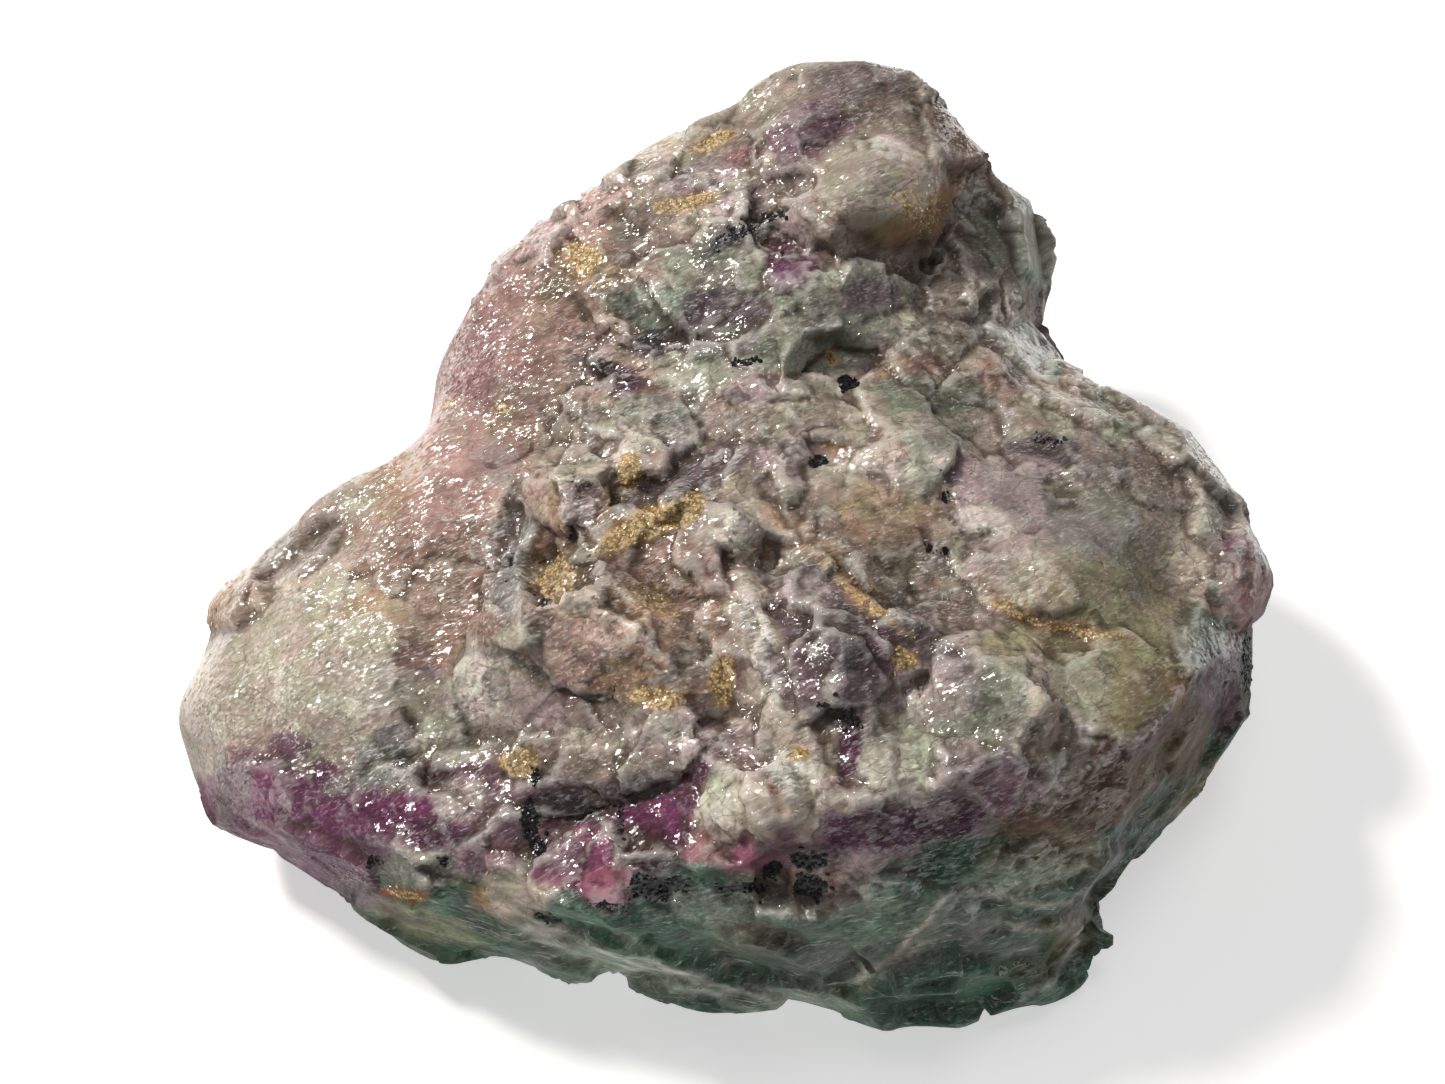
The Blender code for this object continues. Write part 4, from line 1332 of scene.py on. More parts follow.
    def shape(self) -> None:
        """Breaks the skin into knobs and ledges, then plates, flat faces and chips."""
        skin = self.skin
        points = skin.points
        wall = 1 - smooth_step(0.3, 0.7, skin.relax(skin.normals[:, 2], 6))
        noise = LatticeNoise(self.seed + 1)
        heights = self.raised()
        calm = self.calmness()
        self.calm = calm
        rough = np.clip(1.0 + 1.3 * noise.octaves(points, 16.0, 2), 0.2, 2.0) * (1 - calm)
        skin.push(heights)
        calmed = skin.relax(skin.points, 14)
        skin.points = skin.points + (calmed - skin.points) * (0.8 * wall)[:, None]
        skin.write()
        foot = smooth_step(2.0, 10.0, skin.points[:, 2])
        laid = self.flatness * foot * (1 - 0.7 * calm)
        skin.points = skin.points + self.coarse.flats() * laid[:, None]
        smoothed = skin.relax(skin.points, self.wide_look)
        skin.points = skin.points + (smoothed - skin.points) * calm[:, None]
        skin.write()
        self.flatten()
        still = 1 - 0.6 * wall
        broken = rough * self.coarse.heights(self.plate_tilt, self.plate_step) * (0.3 + 0.7 * foot)
        broken += rough * still * self.medium.heights(self.chip_tilt, self.chip_step)
        skin.push(skin.relax(broken, 1) + self.ripple * noise.octaves(points, 2.4, 2) * still)

    def grown_colours(self) -> np.ndarray:
        """The colours of the bands that the stone grew in, for every side of it.

        Returns:
            Red, green and blue in linear light for each point.
        """
        skin = self.skin
        points = skin.points
        slow = LatticeNoise(self.seed + 2).octaves(points, 16.0, 3)
        quick = LatticeNoise(self.seed + 3).octaves(points, 7.0, 3)
        broad = LatticeNoise(self.seed + 4).octaves(points, 11.0, 2)
        up = skin.relax(skin.normals[:, 2], 12)
        height = points[:, 2] + 9 * slow
        crust = smooth_step(0.2, 0.5, up) * smooth_step(20, 30, height)
        purple = smooth_step(19, 23, height) * smooth_step(35, 30, height) * (1 - crust)
        colours = np.tile(linear(Tone.GREEN.value), (len(points), 1))
        bands = (
            (Tone.SEAFOAM, smooth_step(-0.1, 0.4, quick)),
            (Tone.OLIVE, 0.7 * smooth_step(0.15, 0.5, slow)),
            (Tone.DEEP_GREEN, 0.8 * smooth_step(-0.2, -0.5, quick)),
            (Tone.TAUPE, 0.8 * smooth_step(0.0, 0.4, broad)),
            (Tone.MAUVE, purple),
            (Tone.PURPLE, purple * smooth_step(0.0, 0.4, quick)),
            (Tone.BEIGE, crust),
            (Tone.PINK_BROWN, crust * smooth_step(0.0, 0.4, slow)),
            (Tone.LILAC, crust * smooth_step(0.1, 0.5, quick)),
        )
        for tone, amount in bands:
            colours = laid_over(colours, tone, amount)
        return colours

    def laid_colours(self) -> np.ndarray:
        """The colours of the skin with every patch, vein and break.

        Returns:
            Red, green and blue in linear light for each point.
        """
        skin, chart = self.skin, self.chart
        colours = self.grown_colours()
        for patch in PATCHES:
            colours = laid_over(colours, patch.tone, patch.cover * chart.cover(patch, patch.edge))
        for vein in VEINS:
            signed, progress = chart.along_line(vein.line)
            thin = np.exp(-((np.abs(signed) / vein.width) ** 2))
            colours = laid_over(colours, vein.tone, vein.cover * tapered(progress, 0.1) * thin)
        chips = skin.relax(self.medium.shades(), 1)
        plates = skin.relax(self.coarse.shades(), 1)
        colours = colours * (1 + 0.10 * chips + 0.09 * plates)[:, None]
        grey = (colours @ BRIGHTNESS)[:, None]
        return np.clip(grey + self.richness * (colours - grey), self.darkest, 1)

    def sunk(self, passes: int) -> np.ndarray:
        """How far each point lies under the skin around it, in millimetres; more passes look wider."""
        skin = self.skin
        return ((skin.relax(skin.points, passes) - skin.points) * skin.normals).sum(axis=1)

    def paint(self) -> None:
        """Colours the skin and marks where crumbs, oxide, frost and streaks lie."""
        skin, chart = self.skin, self.chart
        colours = self.laid_colours()
        # Painted shade: points sunk under the skin around them are darkened; dark joints also run along the
        # plate borders.
        hollow = self.sunk(self.wide_look)
        nook = self.sunk(self.close_look)
        hollow_shade_and_joints = np.maximum(smooth_step(0.08, 0.6, hollow), 0.9 * smooth_step(0.015, 0.11, nook))
        patchy = smooth_step(-0.05, 0.3, LatticeNoise(self.seed + 6).octaves(skin.points, 9.0, 3))
        hollow_shade_and_joints = np.maximum(hollow_shade_and_joints, 0.75 * self.coarse.borders() * patchy * (1 - self.calm))
        up = skin.relax(skin.normals[:, 2], 8)
        # Painted highlight: raised points that face upwards are lightened.
        crest = np.maximum(0.6 * smooth_step(0.08, 0.6, -hollow), smooth_step(0.02, 0.12, -nook))
        crest *= (1 - 0.5 * self.calm) * smooth_step(0.35, 0.85, up)
        wall = smooth_step(0.62, 0.35, up)
        hollow_shade_and_joints *= 1 - 0.75 * wall
        marks = {mark: np.zeros(len(colours)) for mark in Mark}
        for spot in SPOTS:
            amount = spot.cover * chart.cover(spot, self.spot_edge)
            marks[spot.mark] = np.maximum(marks[spot.mark], amount)
        # Frost also lies thinly on every upward face, and the shader paints its glint flecks wherever frost
        # lies.
        marks[Mark.FROST] = np.maximum(marks[Mark.FROST], 0.25 * smooth_step(0.2, 0.6, up))
        purple = smooth_step(0.02, 0.06, colours[:, 2] - colours[:, 1])
        marks[Mark.FROST] *= 1 - 0.7 * purple
        # Painted shade: the steep green walls are darkened in the colour; the same mask lays pale streaks
        # on them in the shader.
        streak = wall * smooth_step(-0.012, 0.03, colours[:, 1] - colours[:, 0])
        colours = colours * (1 - streak[:, None] * GREEN_WALL_SHADE)
        skin.store("body", colours)
        skin.store("marks", np.stack([marks[mark] for mark in Mark], axis=1))
        steep = smooth_step(0.75, 0.3, up)
        skin.store("polish", np.stack([steep, self.calm, np.zeros_like(steep)], axis=1))
        skin.store("relief", np.stack([streak, hollow_shade_and_joints, crest], axis=1))
        for mark in Mark:
            skin.store(mark.value, marks[mark])


class NodeSheet:
    """Lays out the nodes of one material."""

    def __init__(self, name: str) -> None:
        """Starts a material with only its shader and output."""
        self.material = bpy.data.materials.new(name)
        self.material.use_nodes = True
        self.nodes = self.material.node_tree.nodes
        self.links = self.material.node_tree.links
        self.shader = self.nodes["Principled BSDF"]

    def feed(self, socket: Socket, value: Value) -> None:
        """Sets a socket to a value, or links an output to it."""
        if isinstance(value, Socket):
            self.links.new(value, socket)
        elif isinstance(value, tuple) and socket.type == "RGBA":
            socket.default_value = (*value, 1)
        else:
            socket.default_value = value

    def place(self, stretch: tuple[float, float, float] = (1, 1, 1), turn: float = 0.0) -> Socket:
        """The place on the stone in millimetres.

        Args:
            stretch: How much longer a pattern is along X, Y and Z.
            turn: Its turn about Z in degrees.

        Returns:
            The place's socket.
        """
        source = self.nodes.new("ShaderNodeTexCoord")
        mapping = self.nodes.new("ShaderNodeMapping")
        mapping.vector_type = "TEXTURE"
        mapping.inputs["Rotation"].default_value = (0, 0, math.radians(turn))
        mapping.inputs["Scale"].default_value = [MM * share for share in stretch]
        self.links.new(source.outputs["Object"], mapping.inputs["Vector"])
        return mapping.outputs["Vector"]

    def attribute(self, name: str) -> Socket:
        """A colour kept on the mesh."""
        node = self.nodes.new("ShaderNodeAttribute")
        node.attribute_name = name
        return node.outputs["Color"]

    def split(self, colour: Socket) -> list[Socket]:
        """The three channels of a colour."""
        node = self.nodes.new("ShaderNodeSeparateColor")
        self.links.new(colour, node.inputs[0])
        return list(node.outputs)

    def noise(
        self, place: Socket, size: float, detail: float = 4, rough: float = 0.55, bend: float = 0.0
    ) -> Socket:
        """Noise from 0 to 1 with features of this size in millimetres.

        Args:
            place: Where it is read.
            size: The size of its largest features.
            detail: How many finer octaves it has.
            rough: How strong each octave is beside the last.
            bend: How far it twists itself.

        Returns:
            The noise's socket.
        """
        node = self.nodes.new("ShaderNodeTexNoise")
        self.links.new(place, node.inputs["Vector"])
        node.inputs["Scale"].default_value = 1 / size
        node.inputs["Detail"].default_value = detail
        node.inputs["Roughness"].default_value = rough
        node.inputs["Distortion"].default_value = bend
        return node.outputs["Fac"]

    def cells(self, place: Socket, size: float, feature: str = "F1") -> bpy.types.Node:
        """Cells of this size in millimetres.

        Args:
            place: Where they are read.
            size: How wide a cell is.
            feature: What the node measures.

        Returns:
            The node, with its distance, colour and position.
        """
        node = self.nodes.new("ShaderNodeTexVoronoi")
        node.feature = feature
        self.links.new(place, node.inputs["Vector"])
        node.inputs["Scale"].default_value = 1 / size
        return node

    def calc(self, operation: str, *values: Value) -> Socket:
        """One step of arithmetic."""
        node = self.nodes.new("ShaderNodeMath")
        node.operation = operation
        for socket, value in zip(node.inputs, values):
            self.feed(socket, value)
        return node.outputs[0]

    def times(self, first: Value, second: Value) -> Socket:
        """The product of two values."""
        return self.calc("MULTIPLY", first, second)

    def plus(self, first: Value, second: Value) -> Socket:
        """The sum of two values."""
        return self.calc("ADD", first, second)

    def less(self, first: Value, second: Value) -> Socket:
        """The first value less the second."""
        return self.calc("SUBTRACT", first, second)

    def ramp(
        self, value: Socket, low: float, high: float, start: float = 0, end: float = 1
    ) -> Socket:
        """A smooth rise from start at low to end at high.

        Args:
            value: The socket that is read.
            low: Where the rise begins.
            high: Where it ends.
            start: The result at and below low.
            end: The result at and above high.

        Returns:
            The result's socket.
        """
        node = self.nodes.new("ShaderNodeMapRange")
        node.interpolation_type = "SMOOTHSTEP"
        self.links.new(value, node.inputs["Value"])
        for name, number in zip(("From Min", "From Max", "To Min", "To Max"), (low, high, start, end)):
            node.inputs[name].default_value = number
        return node.outputs["Result"]

    def mix(self, amount: Value, first: Value, second: Value, way: str = "MIX") -> Socket:
        """Mixes two colours. Inputs 6 and 7 of the node, and its output 2, are its colours.

        Args:
            amount: How much of the second colour there is.
            first: The first colour.
            second: The second colour.
            way: How the second is laid on the first.

        Returns:
            The mixed colour's socket.
        """
        node = self.nodes.new("ShaderNodeMix")
        node.data_type = "RGBA"
        node.blend_type = way
        self.feed(node.inputs["Factor"], amount)
        self.feed(node.inputs[6], first)
        self.feed(node.inputs[7], second)
        return node.outputs[2]

    def dress(self, values: dict[str, Value]) -> None:
        """Sets or links the shader's sockets by their names."""
        for name, value in values.items():
            self.feed(self.shader.inputs[name], value)

    def over(self, under: Value, colour: Value, amount: Socket, share: float) -> Socket:
        """Lays a colour over another, by a share of an amount."""
        return self.mix(self.times(amount, share), under, colour)

    def bump(self, height: Socket, strength: float = 1.0) -> Socket:
        """Turns a height in millimetres into a bumped normal."""
        node = self.nodes.new("ShaderNodeBump")
        node.inputs["Distance"].default_value = MM
        node.inputs["Strength"].default_value = strength
        self.links.new(height, node.inputs["Height"])
        return node.outputs["Normal"]


@dataclass(frozen=True)
class StoneFinish:
    """Cloudy fluorite with a wet shine. Sizes are in millimetres, colours in linear light.

    Clouds, mottles and tinges are the dark and light ends of shades that multiply the stone's own colour.
    The other colours are laid over it. The pale crests and glint flecks are painted highlights; the
    darkening in hollows, between the flecks and on steep sides is painted shade.
    """

    facet: float = 0.45
    block: float = 3.6
    block_slope: float = 0.85
    wander: float = 1.4
    slope: float = 0.72
    grain: float = 0.4
    grain_height: float = 0.03
    roughness: tuple[float, float] = (0.14, 0.34)
    coat: float = 0.85
    coat_roughness: float = 0.07
    translucency: float = 0.3
    depth: float = 1.5
    bending: float = 1.45
    specular: float = 0.22
    clouds: tuple[Rgb, Rgb] = ((0.68, 0.66, 0.65), (1.24, 1.24, 1.22))
    mottles: tuple[Rgb, Rgb] = ((0.80, 0.78, 0.77), (1.16, 1.16, 1.16))
    tinges: tuple[Rgb, Rgb] = ((1.06, 0.98, 1.02), (0.97, 1.03, 0.97))
    golds: tuple[Rgb, Rgb] = ((0.80, 0.57, 0.25), (0.22, 0.13, 0.05))
    pale_gold: Rgb = (0.84, 0.72, 0.50)
    wisp: Rgb = (0.74, 0.72, 0.68)
    seam: Rgb = (0.12, 0.08, 0.05)
    streak: Rgb = (0.72, 0.78, 0.74)
    deep: Rgb = (0.025, 0.055, 0.04)
    painted_glint_shadow: Rgb = (0.10, 0.08, 0.075)
    painted_glint: Rgb = (0.95, 0.95, 0.96)
    hollow_shade_and_joints: Rgb = (0.065, 0.042, 0.028)
    crest: Rgb = (0.80, 0.77, 0.72)
    speck: Rgb = (0.05, 0.03, 0.02)
    oxide: Rgb = (0.008, 0.007, 0.009)
    painted_steep_shade: Rgb = (0.72, 0.71, 0.69)

    def colour(self, sheet: NodeSheet, channels: dict[str, Socket]) -> Socket:
        """The stone's colour, from its patches down to specks.

        Args:
            sheet: The material's nodes.
            channels: The masks kept on the mesh, by name.

        Returns:
            The colour's socket.
        """
        place = sheet.place()
        cloud = sheet.noise(place, 7.0, 4, 0.6, 0.6)
        mottle = sheet.noise(place, 2.4, 4, 0.65, 0.4)
        tone = sheet.noise(place, 4.6, 2, 0.6)
        quiet = sheet.times(channels["calm"], 0.55)
        body = sheet.attribute("body")
        shade = sheet.mix(sheet.ramp(cloud, 0.36, 0.62), *self.clouds)
        body = sheet.mix(sheet.less(0.9, quiet), body, shade, "MULTIPLY")
        shade = sheet.mix(sheet.ramp(mottle, 0.38, 0.62), *self.mottles)
        body = sheet.mix(sheet.less(0.95, quiet), body, shade, "MULTIPLY")
        tinge = sheet.mix(sheet.ramp(tone, 0.42, 0.62), *self.tinges)
        body = sheet.mix(1.0, body, tinge, "MULTIPLY")
        wisps = sheet.noise(sheet.place((3.5, 0.8, 1.2), 28), 1.5, 3, 0.6, 1.2)
        body = sheet.over(body, self.wisp, sheet.ramp(wisps, 0.56, 0.72), 0.16)
        borders = sheet.cells(self.bent(sheet, self.wander), self.block, "DISTANCE_TO_EDGE")
        seam = sheet.ramp(borders.outputs["Distance"], 0.035, 0.0)
        body = sheet.over(body, self.seam, sheet.times(seam, sheet.ramp(cloud, 0.40, 0.56)), 0.55)
        streaks = sheet.noise(sheet.place((7.0, 2.0, 0.8), -12), 0.9, 3, 0.6, 1.6)
        streak = sheet.times(sheet.ramp(streaks, 0.59, 0.68), channels["streak"])
        body = sheet.over(body, self.streak, streak, 0.62)
        depths = sheet.noise(sheet.place((3.0, 2.0, 1.4), -12), 3.0, 2, 0.5, 1.0)
        depth = sheet.times(sheet.ramp(depths, 0.52, 0.66), channels["streak"])
        body = sheet.over(body, self.deep, depth, 0.4)
        # Painted glints: pale flecks laid over the frost, with painted shade in the gaps between them.
        painted_glint_noise = sheet.noise(sheet.place((2.8, 0.75, 0.9), 26), 0.42, 2, 0.5, 0.3)
        reach = sheet.times(channels["frost"], sheet.ramp(mottle, 0.36, 0.56, 0.25, 1.0))
        body = sheet.over(body, self.painted_glint_shadow, sheet.times(sheet.ramp(painted_glint_noise, 0.46, 0.36), reach), 0.22)
        body = sheet.over(body, self.painted_glint, sheet.times(sheet.ramp(painted_glint_noise, 0.57, 0.61), reach), 0.8)
        # Painted shade in the hollows, with the dark joints along the plate borders.
        body = sheet.over(body, self.hollow_shade_and_joints, channels["hollow_shade_and_joints"], 0.8)
        # Painted highlight on the crests, except on the streaked walls.
        rise = sheet.times(channels["crest"], sheet.less(1.0, channels["streak"]))
        body = sheet.over(body, self.crest, rise, 0.36)
        specks = sheet.cells(place, 1.5).outputs["Distance"]
        speck = sheet.times(sheet.ramp(specks, 0.13, 0.08), sheet.ramp(mottle, 0.58, 0.66))
        return sheet.over(body, self.speck, speck, 0.8)

    def bent(self, sheet: NodeSheet, amount: float) -> Socket:
        """The place on the stone, shifted so that straight edges wander.

        Args:
            sheet: The material's nodes.
            amount: The most that it is shifted by.

        Returns:
            The place's socket.
        """
        noise = sheet.nodes.new("ShaderNodeTexNoise")
        place = sheet.place()
        sheet.links.new(place, noise.inputs["Vector"])
        noise.inputs["Scale"].default_value = 0.35
        noise.inputs["Detail"].default_value = 1
        shift = sheet.nodes.new("ShaderNodeVectorMath")
        shift.operation = "MULTIPLY_ADD"
        sheet.links.new(noise.outputs["Color"], shift.inputs[0])
        shift.inputs[1].default_value = (2 * amount,) * 3
        sheet.links.new(place, shift.inputs[2])
        return shift.outputs[0]

    def facets(self, sheet: NodeSheet, place: Socket, size: float, shift: float) -> Socket:
        """Small flat crystal faces, each tilted its own way.

        Args:
            sheet: The material's nodes.
            place: The place on the stone.
            size: How wide a face is.
            shift: Moves the pattern, so that two layers differ.

        Returns:
            A height in millimetres for a tilt of about one in two.
        """
        moved = sheet.nodes.new("ShaderNodeVectorMath")
        moved.operation = "ADD"
        sheet.links.new(place, moved.inputs[0])
        moved.inputs[1].default_value = (shift, shift, shift)
        cells = sheet.cells(moved.outputs[0], size)
        offset = sheet.nodes.new("ShaderNodeVectorMath")
        offset.operation = "SUBTRACT"
        sheet.links.new(moved.outputs[0], offset.inputs[0])
        sheet.links.new(cells.outputs["Position"], offset.inputs[1])
        tilt = sheet.nodes.new("ShaderNodeVectorMath")
        tilt.operation = "SUBTRACT"
        sheet.links.new(cells.outputs["Color"], tilt.inputs[0])
        tilt.inputs[1].default_value = (0.5, 0.5, 0.5)
        product = sheet.nodes.new("ShaderNodeVectorMath")
        product.operation = "DOT_PRODUCT"
        sheet.links.new(tilt.outputs[0], product.inputs[0])
        sheet.links.new(offset.outputs[0], product.inputs[1])
        return product.outputs["Value"]

    def crumb(self, sheet: NodeSheet, mask: Socket) -> tuple[Socket, Socket]:
        """Golden crumbs of clay and iron stain.

        Args:
            sheet: The material's nodes.
            mask: Where crumbs lie.

        Returns:
            How much crumb there is, and its colour.
        """
        fray = sheet.noise(sheet.place(), 1.0, 3, 0.7)
        amount = sheet.ramp(sheet.plus(mask, sheet.times(fray, 0.9)), 0.86, 1.0)
        grains = sheet.cells(sheet.place(), 0.5)
        colour = sheet.mix(sheet.ramp(grains.outputs["Distance"], 0.1, 0.7), *self.golds)
        pale = sheet.ramp(sheet.split(grains.outputs["Color"])[0], 0.6, 0.9)
        return amount, sheet.over(colour, self.pale_gold, pale, 0.6)

    def height(self, sheet: NodeSheet, frost: Socket, quiet: Socket) -> Socket:
        """The relief of the finest crystals.

        Args:
            sheet: The material's nodes.
            frost: Where frost lies.
            quiet: Where the stone is steep or calm, and its faces lie flatter.

        Returns:
            A height in millimetres.
        """
        glints = self.facets(sheet, sheet.place((2.0, 0.8, 0.9), 24), self.facet, 11.0)
        glints = sheet.times(glints, sheet.ramp(frost, 0.0, 1.0, 0.6, 1.0))
        blocks = self.facets(sheet, self.bent(sheet, self.wander), self.block, 5.0)
        blocks = sheet.times(blocks, self.block_slope)
        still = sheet.less(1.0, sheet.times(quiet, 0.6))
        ripples = sheet.plus(glints, sheet.times(blocks, still))
        grains = sheet.noise(sheet.place((1.8, 0.8, 1.0), 24), self.grain, 2, 0.6)
        return sheet.plus(sheet.times(ripples, self.slope), sheet.times(grains, 2 * self.grain_height))

    def build(self) -> bpy.types.Material:
        """Makes the material.

        Returns:
            The material, with its nodes.
        """
        sheet = NodeSheet("fluorite_stone")
        crumb_mask, oxide_mask, frost = sheet.split(sheet.attribute("marks"))
        streak, hollow_shade_and_joints, crest = sheet.split(sheet.attribute("relief"))
        steep, calm, _ = sheet.split(sheet.attribute("polish"))
        channels = {"streak": streak, "hollow_shade_and_joints": hollow_shade_and_joints, "crest": crest, "frost": frost, "calm": calm}
        colour = self.colour(sheet, channels)
        crumb, gold = self.crumb(sheet, crumb_mask)
        colour = sheet.over(colour, gold, crumb, 0.85)
        fray = sheet.noise(sheet.place(), 0.8, 3, 0.75)
        colour = sheet.mix(sheet.ramp(sheet.plus(oxide_mask, fray), 0.98, 1.06), colour, self.oxide)
        # Painted shade: the steep sides are darkened in the colour.
        colour = sheet.mix(sheet.times(steep, 0.8), colour, self.painted_steep_shade, "MULTIPLY")
        shine = sheet.ramp(sheet.noise(sheet.place(), 3.0, 1), 0.3, 0.7, *self.roughness)
        shine = sheet.plus(shine, sheet.times(crumb, 0.4))
        shine = sheet.plus(shine, sheet.times(steep, 0.3))
        relief = sheet.bump(self.height(sheet, frost, sheet.calc("MAXIMUM", steep, calm)))
        sheet.shader.subsurface_method = "BURLEY"
        sheet.dress(
            {
                "Base Color": colour,
                "Roughness": shine,
                "Normal": relief,
                "Coat Normal": relief,
                "Coat Weight": sheet.less(self.coat, sheet.times(steep, 0.8)),
                "Coat Roughness": self.coat_roughness,
                "Subsurface Weight": self.translucency,
                "Subsurface Radius": (1.0, 0.92, 0.9),
                "Subsurface Scale": self.depth * MM,
                "IOR": self.bending,
                "Specular IOR Level": self.specular,
            }
        )
        return sheet.material


@dataclass(frozen=True)
class GrainFinish:
    """A finish for small grains. Those of the stone's own colour multiply it by theirs."""

    name: str
    light: Rgb
    dark: Rgb
    roughness: float
    coat: float = 0.0
    of_stone: bool = False
    coat_roughness: float = 0.05

    def build(self) -> bpy.types.Material:
        """Makes the material.

        Returns:
            The material, with its nodes.
        """
        sheet = NodeSheet(self.name)
        tint = sheet.ramp(sheet.noise(sheet.place(), 1.4, 3), 0.35, 0.65)
        colour = sheet.mix(tint, self.dark, self.light)
        if self.of_stone:
            colour = sheet.mix(1.0, sheet.attribute("body"), colour, "MULTIPLY")
        sheet.dress(
            {
                "Base Color": colour,
                "Roughness": self.roughness,
                "Coat Weight": self.coat,
                "Coat Roughness": self.coat_roughness,
            }
        )
        return sheet.material


@dataclass(frozen=True)
class Grains:
    """Small crystal grains strewn over the skin by geometry nodes.

    Sizes are in millimetres, and width and flatness are shares of a grain's length. The stray and the
    tumble are how far it turns about the skin's normal and out of the skin, in radians, from the lie.
    The gather is how strongly grains keep to the middle of a mark.
    """

    name: str
    mark: Mark
    finish: GrainFinish
    per_square: float
    smallest: float
    largest: float
    width: float = 0.8
    flatness: float = 0.6
    stray: float = 3.14
    tumble: float = 0.5
    lie: float = math.radians(26)
    gather: float = 1.5
    seed: int = 1

    def tree(self, material: bpy.types.Material) -> bpy.types.NodeTree:
        """Builds the scattering tree.

        Args:
            material: What the grains are made of.

        Returns:
            The node group, with inputs for density, sizes and seed.
        """
        group = bpy.data.node_groups.new(f"strew_{self.name}", "GeometryNodeTree")
        face = group.interface
        face.new_socket("Geometry", in_out="INPUT", socket_type="NodeSocketGeometry")
        sockets = {"Density": "Float", "Smallest": "Float", "Largest": "Float", "Seed": "Int"}
        for label, kind in sockets.items():
            face.new_socket(label, in_out="INPUT", socket_type=f"NodeSocket{kind}")
        face.new_socket("Geometry", in_out="OUTPUT", socket_type="NodeSocketGeometry")
        nodes, links = group.nodes, group.links
        start = nodes.new("NodeGroupInput")
        end = nodes.new("NodeGroupOutput")
        mask = nodes.new("GeometryNodeInputNamedAttribute")
        mask.data_type = "FLOAT"
        mask.inputs["Name"].default_value = self.mark.value
        sharp = nodes.new("ShaderNodeMath")
        sharp.operation = "POWER"
        sharp.inputs[1].default_value = self.gather
        links.new(mask.outputs["Attribute"], sharp.inputs[0])
        density = nodes.new("ShaderNodeMath")
        density.operation = "MULTIPLY"
        links.new(sharp.outputs[0], density.inputs[0])
        links.new(start.outputs["Density"], density.inputs[1])
        strew = nodes.new("GeometryNodeDistributePointsOnFaces")
        links.new(start.outputs["Geometry"], strew.inputs["Mesh"])
        links.new(density.outputs[0], strew.inputs["Density"])
        links.new(start.outputs["Seed"], strew.inputs["Seed"])
        grain = nodes.new("GeometryNodeMeshIcoSphere")
        grain.inputs["Radius"].default_value = 0.5
        grain.inputs["Subdivisions"].default_value = 1
        size = nodes.new("FunctionNodeRandomValue")
        links.new(start.outputs["Smallest"], size.inputs[2])
        links.new(start.outputs["Largest"], size.inputs[3])
        spin = nodes.new("FunctionNodeRandomValue")
        spin.data_type = "FLOAT_VECTOR"
        spin.inputs[0].default_value = (-self.tumble, -self.tumble, -self.stray)
        spin.inputs[1].default_value = (self.tumble, self.tumble, self.stray)
        turn = nodes.new("FunctionNodeRotateRotation")
        turn.rotation_space = "LOCAL"
        lay = nodes.new("FunctionNodeAlignRotationToVector")
        lay.axis = "X"
        lay.pivot_axis = "Z"
        lay.inputs["Vector"].default_value = (math.cos(self.lie), math.sin(self.lie), 0)
        links.new(strew.outputs["Rotation"], lay.inputs["Rotation"])
        links.new(lay.outputs["Rotation"], turn.inputs[0])
        links.new(spin.outputs[0], turn.inputs[1])
        form = nodes.new("ShaderNodeVectorMath")
        form.operation = "SCALE"
        form.inputs[0].default_value = (1.0, self.width, self.flatness)
        links.new(size.outputs[1], form.inputs["Scale"])
        put = nodes.new("GeometryNodeInstanceOnPoints")
        links.new(strew.outputs["Points"], put.inputs["Points"])
        links.new(grain.outputs["Mesh"], put.inputs["Instance"])
        links.new(turn.outputs[0], put.inputs["Rotation"])
        links.new(form.outputs[0], put.inputs["Scale"])
        real = nodes.new("GeometryNodeRealizeInstances")
        links.new(put.outputs["Instances"], real.inputs["Geometry"])
        dress = nodes.new("GeometryNodeSetMaterial")
        dress.inputs["Material"].default_value = material
        links.new(real.outputs["Geometry"], dress.inputs["Geometry"])
        links.new(dress.outputs["Geometry"], end.inputs["Geometry"])
        return group

    def build(self, lump: bpy.types.Object) -> bpy.types.Object:
        """Strews the grains and makes them one plain mesh.

        Args:
            lump: The stone that they lie on.

        Returns:
            The piece.
        """
        material = self.finish.build()
        group = self.tree(material)
        obj = bpy.data.objects.new(self.name, lump.data)
        bpy.context.scene.collection.objects.link(obj)
        strew = obj.modifiers.new("strew", "NODES")
        strew.node_group = group
        values = {
            "Density": self.per_square / MM**2,
            "Smallest": self.smallest * MM,
            "Largest": self.largest * MM,
            "Seed": self.seed,
        }
        for item in group.interface.items_tree:
            if item.in_out == "INPUT" and item.name in values:
                strew[item.identifier] = values[item.name]
        made_plain(obj)
        data = obj.data
        if not data.materials:
            data.materials.append(material)
        for layer in list(data.attributes):
            if layer.name in {"marks", "relief", *(mark.value for mark in Mark)}:
                data.attributes.remove(layer)
        return obj


@dataclass(frozen=True)
class Softbox:
    """A square light that looks at the stone, at the height of the aim.

    Angles are in degrees, sizes in metres and the power in watts.
    """

    name: str
    bearing: float
    elevation: float
    distance: float
    side: float
    power: float
    colour: Rgb = WHITE
    aim: float = 0.03

    def build(self) -> bpy.types.Object:
        """Hangs the light.

        Returns:
            The light.
        """
        data = bpy.data.lights.new(self.name, "AREA")
        data.shape = "SQUARE"
        data.size = self.side
        data.energy = self.power
        data.color = self.colour
        light = bpy.data.objects.new(self.name, data)
        bpy.context.scene.collection.objects.link(light)
        turn, rise = math.radians(self.bearing), math.radians(self.elevation)
        level = math.cos(rise)
        way = Vector((math.cos(turn) * level, math.sin(turn) * level, math.sin(rise)))
        light.location = way * self.distance + Vector((0, 0, self.aim))
        light.rotation_euler = way.to_track_quat("Z", "Y").to_euler()
        return light


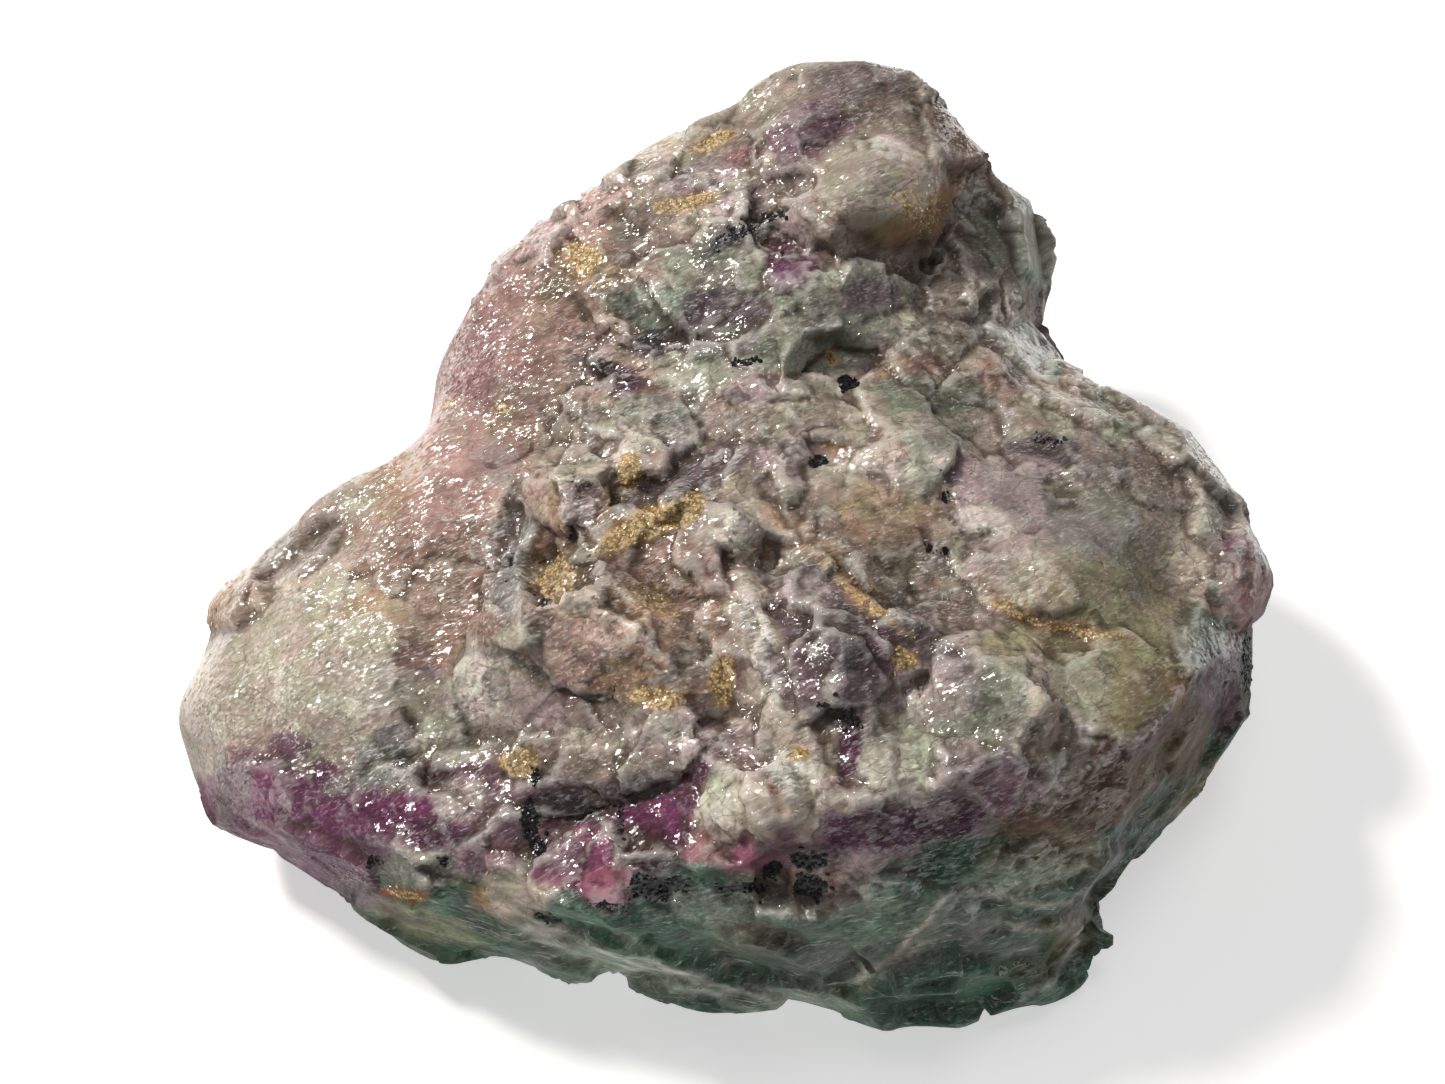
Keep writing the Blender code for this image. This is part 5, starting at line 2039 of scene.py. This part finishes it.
@dataclass(frozen=True)
class Studio:
    """The pale floor, the lights and the surrounding white. Sizes are in metres."""

    floor_side: float = 6.0
    floor_drop: float = 0.0001
    floor_glow: float = 0.5
    surround: float = 0.13
    lights: tuple[Softbox, ...] = (
        Softbox("key", 150, 48, 0.7, 0.10, 4.8, (1.0, 0.955, 0.885)),
        Softbox("top", 80, 74, 0.9, 0.3, 1.2),
        Softbox("front", 250, 35, 1.0, 0.6, 0.3),
    )

    def build(self) -> None:
        """Lays the floor and hangs the lights."""
        mesh = bmesh.new()
        bmesh.ops.create_grid(mesh, x_segments=1, y_segments=1, size=self.floor_side / 2)
        data = bpy.data.meshes.new("floor")
        mesh.to_mesh(data)
        mesh.free()
        floor = bpy.data.objects.new("floor", data)
        bpy.context.scene.collection.objects.link(floor)
        floor.location = (0, 0, -self.floor_drop)
        sheet = NodeSheet("floor_white")
        sheet.dress(
            {
                "Base Color": (0.9, 0.9, 0.9),
                "Roughness": 0.9,
                "Specular IOR Level": 0.1,
                "Emission Color": WHITE,
                "Emission Strength": self.floor_glow,
            }
        )
        data.materials.append(sheet.material)
        for softbox in self.lights:
            softbox.build()
        world = bpy.data.worlds.new("surround")
        world.use_nodes = True
        background = world.node_tree.nodes["Background"].inputs
        background["Color"].default_value = (*WHITE, 1)
        background["Strength"].default_value = self.surround
        bpy.context.scene.world = world
        bpy.context.scene.view_settings.view_transform = "Standard"


GRAINS = (
    Grains(
        "frost_grains",
        Mark.FROST,
        GrainFinish("clear_grain", (1.12, 1.12, 1.12), (0.9, 0.9, 0.9), 0.1, 1.0, True),
        per_square=0.55,
        smallest=0.38,
        largest=1.05,
        width=0.38,
        flatness=0.2,
        stray=0.5,
        tumble=0.25,
        seed=3,
    ),
    Grains(
        "ochre_crumbs",
        Mark.CRUMB,
        GrainFinish("ochre_crumb", (0.86, 0.66, 0.36), (0.50, 0.33, 0.14), 0.5),
        per_square=1.8,
        smallest=0.2,
        largest=0.5,
        seed=4,
    ),
    Grains(
        "oxide_crumbs",
        Mark.OXIDE,
        GrainFinish("black_oxide", (0.02, 0.02, 0.024), (0.006, 0.005, 0.006), 0.35),
        per_square=2.2,
        smallest=0.3,
        largest=0.9,
        seed=5,
    ),
)


def main() -> None:
    """Builds the pieces in order."""
    logging.basicConfig(level=logging.INFO, format="%(name)s: %(message)s")
    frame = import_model()
    view = Viewpoint()
    view.build()
    lump = Lump(view).build(frame["nodes"][NODE])
    lump.name = "fluorite_lump"
    pieces = [grains.build(lump) for grains in GRAINS]
    lump.data.materials.clear()
    lump.data.materials.append(StoneFinish().build())
    for piece in (lump, *pieces):
        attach(piece, "root")
        LOG.info("%s: %d faces", piece.name, len(piece.data.polygons))
    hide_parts(NODE)
    Studio().build()


if __name__ == "__main__":
    main()
